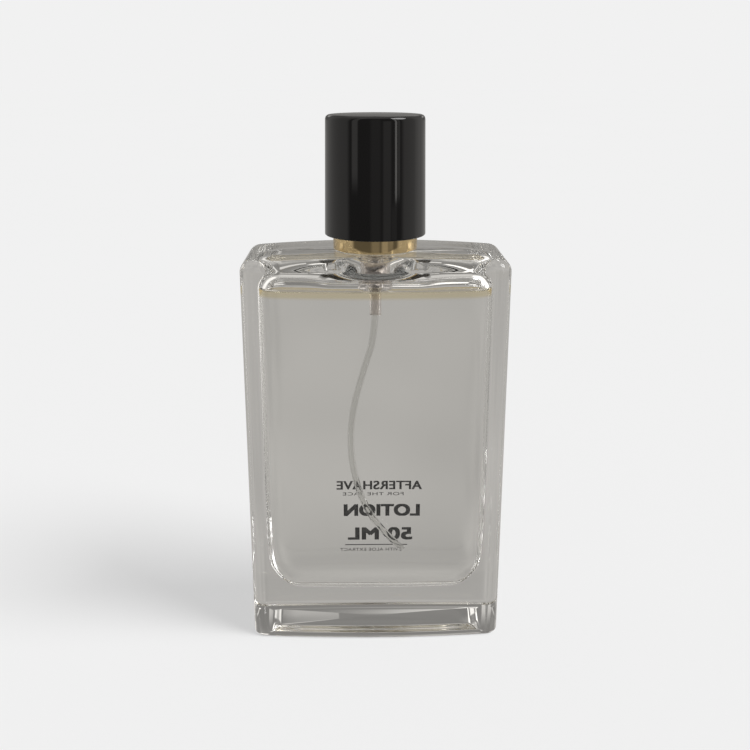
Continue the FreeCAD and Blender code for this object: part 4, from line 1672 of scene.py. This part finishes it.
# ---- Actuator --------------------------------------------------------------------------------------
@dataclass
class ActuatorSet:
    """The gold shell of the push button and the spray insert in its side."""

    radius: float = 6.6
    low: float = 99.5
    top: float = 108.3
    sheet: float = 0.38
    edge: float = 0.8
    nozzle_height: float = 105.4
    window: float = 2.1
    insert: float = 1.9
    insert_back: float = 3.01
    insert_front: float = 6.5
    cup: float = 1.1
    face: float = 0.6
    orifice: float = 0.15
    dish: tuple[float, float, float] = (0.75, 1.05, 1.3)
    dish_depth: float = 0.18
    low_edge: tuple[float, float] = (0.06, 0.12)
    insert_edges: tuple[float, float, float] = (0.03, 0.12, 0.08)
    cutter_reach: float = 9.0
    steps: int = 192
    small_steps: int = 96

    def _lay_along_y(self, mesh: bpy.types.Mesh) -> None:
        """Turn a mesh made about Z so that it points along +Y at the nozzle's height.

        Args:
            mesh: The mesh, changed in place.
        """
        points = np.array([v.co for v in mesh.vertices], float)
        laid = np.column_stack([-points[:, 0], points[:, 2], points[:, 1]])
        laid[:, 2] += self.nozzle_height * MM
        mesh.vertices.foreach_set("co", laid.ravel())

    def shell(self) -> bpy.types.Object:
        """Draw the metal shell and pierce its window.

        Returns:
            The shell.
        """
        inner = self.radius - self.sheet
        inner_edge, outer_edge = self.low_edge
        profile = (
            (0.0, self.top - self.sheet),
            (inner, self.top - self.sheet, self.edge - self.sheet),
            (inner, self.low, inner_edge),
            (self.radius, self.low, outer_edge),
            (self.radius, self.top, self.edge),
            (0.0, self.top),
        )
        mesh = turned_mesh("button_shell", profile, self.steps)
        piece = finished_object("button_shell", mesh, (GOLD_METAL,))
        window, reach = self.window, self.cutter_reach
        plug = ((0.0, 0.0), (window, 0.0), (window, reach), (0.0, reach))
        cutter_mesh = turned_mesh("window_cutter", plug, self.small_steps)
        self._lay_along_y(cutter_mesh)
        cutter = finished_object("window_cutter", cutter_mesh, (GOLD_METAL,))
        pierce = piece.modifiers.new("Window", "BOOLEAN")
        pierce.object = cutter
        pierce.operation = "DIFFERENCE"
        pierce.solver = "EXACT"
        bpy.context.view_layer.update()
        evaluated = piece.evaluated_get(bpy.context.evaluated_depsgraph_get())
        pierced = bpy.data.meshes.new_from_object(evaluated)
        bpy.data.objects.remove(piece)
        bpy.data.objects.remove(cutter)
        piece = finished_object("button_shell", pierced, (GOLD_METAL,))
        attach(piece, Body.ACTUATOR.value)
        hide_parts("actuator_shell")
        return piece

    def spray_insert(self) -> bpy.types.Object:
        """Turn the spray insert and lay it along +Y.

        Returns:
            The insert.
        """
        front, back = self.insert_front, self.insert_back
        dish_in, dish_middle, dish_out = self.dish
        orifice_edge, front_edge, cup_edge = self.insert_edges
        profile = (
            (self.orifice, front, orifice_edge),
            (dish_in, front, EDGE_CRISP),
            (dish_middle, front - self.dish_depth, EDGE_CRISP),
            (dish_out, front, EDGE_CRISP),
            (self.insert, front, front_edge),
            (self.insert, back, EDGE_BROKEN),
            (self.cup, back, EDGE_CRISP),
            (self.cup, front - self.face, cup_edge),
            (self.orifice, front - self.face, 0.0),
        )
        mesh = turned_mesh("spray_cup", profile, self.small_steps)
        self._lay_along_y(mesh)
        piece = finished_object("spray_cup", mesh, (BLACK_INNER,))
        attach(piece, Body.ACTUATOR.value)
        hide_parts("nozzle_insert")
        return piece

    def build(self) -> list[bpy.types.Object]:
        """Build the shell and the spray insert."""
        return [self.shell(), self.spray_insert()]


# ---- Overcap ---------------------------------------------------------------------------------------
@dataclass
class Overcap:
    """The gloss black cap and the ribbed sleeve in it."""

    radius: float = 10.575
    top_radius: float = 10.2
    bottom: float = 90.0
    top: float = 114.3
    ceiling: float = 112.7
    wall: float = 0.85
    top_edge: float = 1.1
    sleeve_low: float = 90.3
    sleeve_stop: float = 97.06
    sleeve_high: float = 103.46
    grip: float = 9.05
    throat: float = 8.4
    gap: float = 0.02
    ribs: int = 8
    rib_gap: float = 0.05
    rib_width: float = 0.6
    rib_sunk: float = 0.1
    rib_end: float = 0.5
    rib_rows: int = 6
    collar_radius: float = 8.85
    ceiling_round: float = 0.5
    steps: int = 256

    def _radius_at(self, height: float) -> float:
        """The cap's outer radius at a height."""
        share = (height - self.bottom) / (self.top - self.bottom)
        return self.radius + (self.top_radius - self.radius) * share

    def shell(self) -> bpy.types.Object:
        """Turn the cap's shell.

        Returns:
            The shell.
        """
        inner_top = self._radius_at(self.ceiling) - self.wall
        profile = (
            (self.radius - self.wall, self.bottom, EDGE_SOFT),
            (self.radius, self.bottom, EDGE_ROUND),
            (self.top_radius, self.top, self.top_edge),
            (0.0, self.top),
            (0.0, self.ceiling),
            (inner_top, self.ceiling, self.ceiling_round),
        )
        mesh = turned_mesh("black_cap", profile, self.steps)
        piece = finished_object("black_cap", mesh, (BLACK_GLOSS,))
        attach(piece, Body.CAP.value)
        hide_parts("cap_shell")
        return piece

    def _rib_mesh(self) -> bpy.types.Mesh:
        """The grip ribs, repeated round the sleeve.

        Returns:
            The ribs as one mesh.
        """
        reach = self.grip - self.collar_radius - self.rib_gap + self.rib_sunk
        tall = self.sleeve_stop - self.sleeve_low - 2 * self.rib_end
        rule = RuleTree(
            "sleeve_ribs_rule",
            {
                "Ribs": self.ribs,
                "Ring Radius": (self.collar_radius + self.rib_gap + reach / 2) * MM,
                "Reach": reach * MM,
                "Width": self.rib_width * MM,
                "Tall": tall * MM,
                "Middle": (self.sleeve_low + self.rib_end + tall / 2) * MM,
            },
        )
        sheet = rule.sheet
        circle = sheet.add("GeometryNodeCurvePrimitiveCircle")
        sheet.join(rule.size("Ribs"), circle.inputs["Resolution"])
        sheet.join(rule.size("Ring Radius"), circle.inputs["Radius"])
        spots = sheet.add("GeometryNodeCurveToPoints", mode="EVALUATED")
        sheet.join(circle.outputs["Curve"], spots.inputs["Curve"])
        section = sheet.add("ShaderNodeCombineXYZ")
        sheet.join(rule.size("Reach"), section.inputs["X"])
        sheet.join(rule.size("Width"), section.inputs["Y"])
        sheet.join(rule.size("Tall"), section.inputs["Z"])
        rib = sheet.add("GeometryNodeMeshCube", {"Vertices Z": self.rib_rows})
        sheet.join(section.outputs["Vector"], rib.inputs["Size"])
        spot = sheet.add("GeometryNodeInputPosition")
        apart = sheet.add("ShaderNodeSeparateXYZ")
        sheet.join(spot.outputs["Position"], apart.inputs["Vector"])
        swing = sheet.add("ShaderNodeMath", operation="ARCTAN2")
        sheet.join(apart.outputs["Y"], swing.inputs[0])
        sheet.join(apart.outputs["X"], swing.inputs[1])
        turn = sheet.add("ShaderNodeCombineXYZ")
        sheet.join(swing.outputs[0], turn.inputs["Z"])
        spread = sheet.add("GeometryNodeInstanceOnPoints")
        sheet.join(spots.outputs["Points"], spread.inputs["Points"])
        sheet.join(rib.outputs["Mesh"], spread.inputs["Instance"])
        sheet.join(turn.outputs["Vector"], spread.inputs["Rotation"])
        place = sheet.add("ShaderNodeCombineXYZ")
        sheet.join(rule.size("Middle"), place.inputs["Z"])
        moved = sheet.add("GeometryNodeTransform")
        sheet.join(spread.outputs["Instances"], moved.inputs["Geometry"])
        sheet.join(place.outputs["Vector"], moved.inputs["Translation"])
        rule.close(moved.outputs["Geometry"])
        return rule.bake("sleeve_ribs", BLACK_INNER)

    def sleeve(self) -> bpy.types.Object:
        """Turn the sleeve and add its ribs.

        Returns:
            The sleeve with its ribs.
        """
        skin = self.wall + self.gap
        low, stop, high = self.sleeve_low, self.sleeve_stop, self.sleeve_high
        profile = (
            (self.grip, low, EDGE_BROKEN),
            (self._radius_at(low) - skin, low, EDGE_BROKEN),
            (self._radius_at(high) - skin, high, EDGE_SOFT),
            (self.throat, high, EDGE_SOFT),
            (self.throat, stop, EDGE_BROKEN),
            (self.grip, stop, EDGE_CRISP),
        )
        work = bmesh.new()
        work.from_mesh(turned_mesh("cap_sleeve", profile))
        work.from_mesh(self._rib_mesh())
        mesh = bpy.data.meshes.new("cap_sleeve")
        work.to_mesh(mesh)
        work.free()
        piece = finished_object("cap_sleeve", mesh, (BLACK_INNER,))
        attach(piece, Body.CAP.value)
        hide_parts("cap_insert")
        return piece

    def build(self) -> list[bpy.types.Object]:
        """Build the shell and its sleeve."""
        return [self.shell(), self.sleeve()]


# ---- CAD pieces that keep their shape --------------------------------------------------------------
@dataclass
class KeptPieces:
    """The CAD nodes that are shown as they are, each with its finish."""

    nodes: dict[str, bpy.types.Object]
    finishes: dict[str, Finish] = field(
        default_factory=lambda: {
            "neck_gasket": SOFT_SEAL,
            "crimp_ferrule": PLAIN_METAL,
            "turret": WHITE_PLASTIC,
            "inlet_ball": STEEL,
            "valve_needle": WHITE_PLASTIC,
            "piston": SOFT_SEAL,
            "pump_stem": WHITE_PLASTIC,
            "actuator_core": BLACK_INNER,
        }
    )

    def build(self) -> list[bpy.types.Object]:
        """Dress the kept nodes.

        Returns:
            The nodes.
        """
        dressed = []
        for name, finish in self.finishes.items():
            node = self.nodes[name]
            for slot in node.material_slots:
                slot.material = finish.build()
            dressed.append(node)
        return dressed


# ---- Studio ----------------------------------------------------------------------------------------
class SeenIn(Enum):
    """Where a soft light shows."""

    GLOSS = "gloss"
    GLASS = "glass"
    BOTH = "both"


@dataclass(frozen=True)
class SoftLight:
    """A long soft light far off: its heading round the bottle, its spread, and its height range."""

    heading: float
    half_spread: float
    low: float
    high: float
    edge: float
    level: float
    seen_in: SeenIn = SeenIn.BOTH


@dataclass
class Studio:
    """The pale floor, the soft light and the camera."""

    floor_radius: float = 6000.0
    camera_place: tuple[float, float, float] = (-3.2, -201.05, 123.1)
    camera_pitch: float = 17.76
    camera_yaw: float = 0.9
    lens: float = 45.93
    sensor: float = 36.0
    nearest: float = 0.005
    farthest: float = 50.0
    bounces: int = 24
    clear_bounces: int = 22
    other_bounces: int = 12
    floor_steps: int = 96
    backdrop: float = 0.88
    fill: float = 0.72
    warmth: tuple[float, float, float] = (1.01, 0.985, 0.945)
    front: float = 0.11
    front_spread: float = 58.0
    front_edge: float = 12.0
    sides: float = 0.46
    table: float = 0.43
    table_low: float = 5.0
    table_high: float = 17.0
    mottle: float = 0.7
    mottle_scale: float = 4.5
    back: float = 0.22
    back_spread: float = 128.0
    back_edge: float = 22.0
    horizon_low: float = -3.0
    horizon_high: float = 2.0
    overhead: float = 0.6
    overhead_low: float = 46.0
    overhead_high: float = 64.0
    key_strength: float = 1.3
    key_spread: float = 30.0
    key_heading: float = -19.0
    key_height: float = 48.0
    lights: tuple[SoftLight, ...] = (
        SoftLight(-48.0, 5.0, -7.0, 70.0, 4.0, 0.45, SeenIn.GLOSS),
        SoftLight(43.0, 5.0, -16.0, -9.0, 2.0, 0.12, SeenIn.GLOSS),
        SoftLight(47.0, 1.6, -8.0, 40.0, 1.5, 1.7, SeenIn.GLOSS),
        SoftLight(54.0, 2.0, -8.0, 40.0, 2.0, 0.32, SeenIn.GLOSS),
        SoftLight(112.0, 6.0, -40.0, 75.0, 8.0, 0.10, SeenIn.GLOSS),
        SoftLight(0.0, 7.0, -40.0, 30.0, 8.0, 0.10, SeenIn.GLOSS),
        SoftLight(26.0, 6.0, -40.0, 10.0, 6.0, 0.22, SeenIn.GLOSS),
        SoftLight(104.0, 11.0, -26.0, 60.0, 14.0, 1.15, SeenIn.GLASS),
        SoftLight(-100.0, 9.0, -16.0, 50.0, 12.0, 0.60, SeenIn.GLASS),
        SoftLight(152.0, 7.0, 8.0, 15.0, 5.0, 0.75),
        SoftLight(170.0, 6.0, 20.0, 27.0, 4.0, 1.3),
        SoftLight(-158.0, 8.0, 12.0, 20.0, 6.0, 0.72),
        SoftLight(-176.0, 5.0, 30.0, 38.0, 5.0, 0.53),
    )

    def floor(self) -> bpy.types.Object:
        """Lay the floor as a wide disc.

        Returns:
            The floor.
        """
        work = bmesh.new()
        bmesh.ops.create_circle(
            work, cap_ends=True, segments=self.floor_steps, radius=self.floor_radius * MM
        )
        mesh = bpy.data.meshes.new("studio_floor")
        work.to_mesh(mesh)
        work.free()
        piece = finished_object("studio_floor", mesh, (SWEEP,))
        piece.visible_glossy = False
        piece.visible_transmission = False
        return piece

    def surroundings(self) -> None:
        """Set the grey studio round the bottle: dim in front, with soft neutral strips."""
        world = bpy.data.worlds.new("studio")
        bpy.context.scene.world = world
        world.use_nodes = True
        sheet = NodeSheet(world.node_tree)
        end = sheet.add("ShaderNodeOutputWorld")
        place = sheet.add("ShaderNodeTexCoord")
        way = sheet.add("ShaderNodeSeparateXYZ")
        sheet.join(place.outputs["Generated"], way.inputs["Vector"])
        front = sheet.math("MULTIPLY", way.outputs["Y"], -1.0)
        heading = sheet.math("ARCTAN2", way.outputs["X"], front)
        height = sheet.add("ShaderNodeMath", operation="ARCSINE")
        sheet.join(way.outputs["Z"], height.inputs[0])

        off = sheet.math("ABSOLUTE", heading, 0.0)
        aside = self._ramp(sheet, off, self.front_spread, self.front_spread + self.front_edge)
        behind = self._ramp(sheet, off, self.back_spread, self.back_spread + self.back_edge)
        over = self._ramp(sheet, height.outputs[0], self.overhead_low, self.overhead_high)
        level = sheet.math("MULTIPLY", aside, self.sides - self.front)
        level = sheet.math("ADD", level, self.front)
        above = self._ramp(sheet, height.outputs[0], self.horizon_low, self.horizon_high)
        back = sheet.math("MULTIPLY", above, self.back - self.table)
        back = sheet.math("ADD", back, self.table)
        level = self._towards(sheet, level, behind, back)
        level = self._towards(sheet, level, over, self.overhead)
        high = self._ramp(sheet, height.outputs[0], self.table_low, self.table_high)
        through = sheet.add("ShaderNodeMix", {"A": self.table}, data_type="FLOAT")
        sheet.join(high, through.inputs["Factor"])
        sheet.join(level, through.inputs["B"])
        cloud = sheet.add(
            "ShaderNodeTexNoise", {"Scale": self.mottle_scale, "Detail": 2.0, "Roughness": 0.5}
        )
        sheet.join(place.outputs["Generated"], cloud.inputs["Vector"])
        swing = sheet.math("SUBTRACT", cloud.outputs["Fac"], 0.5)
        swing = sheet.math("MULTIPLY", swing, self.mottle)
        swing = sheet.math("ADD", swing, 1.0)
        through = sheet.math("MULTIPLY", through.outputs["Result"], swing)
        gloss = self._lit(sheet, level, heading, height.outputs[0], SeenIn.GLOSS)
        glass = self._lit(sheet, through, heading, height.outputs[0], SeenIn.GLASS)
        rays = sheet.add("ShaderNodeLightPath")
        either = sheet.add("ShaderNodeMix", data_type="VECTOR")
        sheet.join(rays.outputs["Is Transmission Ray"], either.inputs["Factor"])
        sheet.join(gloss, either.inputs["A"])
        sheet.join(glass, either.inputs["B"])
        around = sheet.add("ShaderNodeBackground")
        sheet.join(either.outputs["Result"], around.inputs["Color"])
        shader = around.outputs["Background"]
        for ray, grey in (("Is Diffuse Ray", self.fill), ("Is Camera Ray", self.backdrop)):
            plain = sheet.add("ShaderNodeBackground", {"Color": (grey, grey, grey, 1.0)})
            mix = sheet.add("ShaderNodeMixShader")
            sheet.join(rays.outputs[ray], mix.inputs["Fac"])
            sheet.join(shader, mix.inputs[1])
            sheet.join(plain.outputs["Background"], mix.inputs[2])
            shader = mix.outputs["Shader"]
        sheet.join(shader, end.inputs["Surface"])
        world.cycles.sampling_method = "NONE"

    def _lit(
        self,
        sheet: NodeSheet,
        level: bpy.types.NodeSocket,
        heading: bpy.types.NodeSocket,
        height: bpy.types.NodeSocket,
        seen_in: SeenIn,
    ) -> bpy.types.NodeSocket:
        """The surroundings with every soft light that shows in gloss or through glass.

        Args:
            sheet: The world's nodes.
            level: The plain grey of the surroundings.
            heading: The angle round the bottle, from its front.
            height: The angle above the floor.
            seen_in: Which of the lights to add.

        Returns:
            The colour.
        """
        for light in self.lights:
            if light.seen_in in (seen_in, SeenIn.BOTH):
                level = self._with_light(sheet, level, heading, height, light)
        warm = sheet.add("ShaderNodeVectorMath", operation="SCALE")
        warm.inputs[0].default_value = self.warmth
        sheet.join(level, warm.inputs["Scale"])
        return warm.outputs["Vector"]

    @staticmethod
    def _towards(
        sheet: NodeSheet, level: bpy.types.NodeSocket, mask: bpy.types.NodeSocket, goal: object
    ) -> bpy.types.NodeSocket:
        """A level drawn towards a goal where the mask is 1.

        Args:
            sheet: The world's nodes.
            level: The level so far.
            mask: Where to change it.
            goal: A number or a socket.

        Returns:
            The new level.
        """
        mix = sheet.add("ShaderNodeMix", data_type="FLOAT")
        sheet.join(mask, mix.inputs["Factor"])
        sheet.join(level, mix.inputs["A"])
        if isinstance(goal, (int, float)):
            mix.inputs["B"].default_value = goal
        else:
            sheet.join(goal, mix.inputs["B"])
        return mix.outputs["Result"]

    @staticmethod
    def _ramp(
        sheet: NodeSheet, angle: bpy.types.NodeSocket, start: float, end: float
    ) -> bpy.types.NodeSocket:
        """A mask that goes from 0 to 1 between two angles in degrees.

        Args:
            sheet: The world's nodes.
            angle: The angle, in radians.
            start: Where the mask is 0.
            end: Where the mask is 1.

        Returns:
            The mask.
        """
        ramp = sheet.add(
            "ShaderNodeMapRange",
            {"From Min": math.radians(start), "From Max": math.radians(end)},
            interpolation_type="SMOOTHSTEP",
        )
        sheet.join(angle, ramp.inputs["Value"])
        return ramp.outputs["Result"]

    def _with_light(
        self,
        sheet: NodeSheet,
        level: bpy.types.NodeSocket,
        heading: bpy.types.NodeSocket,
        height: bpy.types.NodeSocket,
        light: SoftLight,
    ) -> bpy.types.NodeSocket:
        """Add one soft strip to the surroundings.

        Args:
            sheet: The world's nodes.
            level: The surroundings so far.
            heading: The angle round the bottle, from its front.
            height: The angle above the floor.
            light: The strip.

        Returns:
            The surroundings with the strip.
        """
        off = sheet.math("SUBTRACT", heading, math.radians(light.heading))
        off = sheet.math("ABSOLUTE", off, 0.0)
        across = self._ramp(sheet, off, light.half_spread + light.edge, light.half_spread)
        above = self._ramp(sheet, height, light.low, light.low + light.edge)
        below = self._ramp(sheet, height, light.high + light.edge, light.high)
        mask = sheet.math("MULTIPLY", across, sheet.math("MULTIPLY", above, below))
        return sheet.math("ADD", level, sheet.math("MULTIPLY", mask, light.level))

    def key_light(self) -> bpy.types.Object:
        """Hang the key light, far off to the right and in front.

        Returns:
            The light.
        """
        lamp = bpy.data.lights.new("key", "SUN")
        lamp.energy = self.key_strength
        lamp.angle = math.radians(self.key_spread)
        holder = bpy.data.objects.new("key", lamp)
        heading = math.radians(self.key_heading)
        height = math.radians(self.key_height)
        source = Vector(
            (
                math.cos(heading) * math.cos(height),
                math.sin(heading) * math.cos(height),
                math.sin(height),
            )
        )
        holder.rotation_euler = source.to_track_quat("Z", "Y").to_euler()
        bpy.context.scene.collection.objects.link(holder)
        return holder

    def camera(self) -> bpy.types.Object:
        """Set the camera up in front of the bottle, looking a little down.

        Returns:
            The camera.
        """
        lens = bpy.data.cameras.new("camera")
        lens.lens = self.lens
        lens.sensor_width = self.sensor
        lens.clip_start = self.nearest
        lens.clip_end = self.farthest
        holder = bpy.data.objects.new("camera", lens)
        holder.location = Vector(self.camera_place) * MM
        holder.rotation_euler = (
            math.radians(90 - self.camera_pitch),
            0.0,
            math.radians(-self.camera_yaw),
        )
        bpy.context.scene.collection.objects.link(holder)
        bpy.context.scene.camera = holder
        return holder

    def build(self) -> list[bpy.types.Object]:
        """Build the floor, the light and the camera.

        Returns:
            The three objects.
        """
        scene = bpy.context.scene
        scene.view_settings.view_transform = "Standard"
        scene.cycles.max_bounces = self.bounces
        scene.cycles.transmission_bounces = self.clear_bounces
        scene.cycles.glossy_bounces = self.other_bounces
        scene.cycles.transparent_max_bounces = self.other_bounces
        self.surroundings()
        return [self.floor(), self.key_light(), self.camera()]


def main() -> None:
    """Build the bottle's sub-assemblies in order, then the studio, and report each piece."""
    logging.basicConfig(level=logging.INFO, format="%(name)s: %(message)s")
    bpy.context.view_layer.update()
    shape = BottleShape()
    assemblies = (
        GlassBody(shape),
        FrontPrint(shape),
        CollarSet(),
        PumpSet(),
        ActuatorSet(),
        Overcap(),
        KeptPieces(frame["nodes"]),
        Studio(),
    )
    for assembly in assemblies:
        for piece in assembly.build():
            faces = len(piece.data.polygons) if piece.type == "MESH" else 0
            log.info("%s: %s, %d faces", type(assembly).__name__, piece.name, faces)


if __name__ == "__main__":
    main()
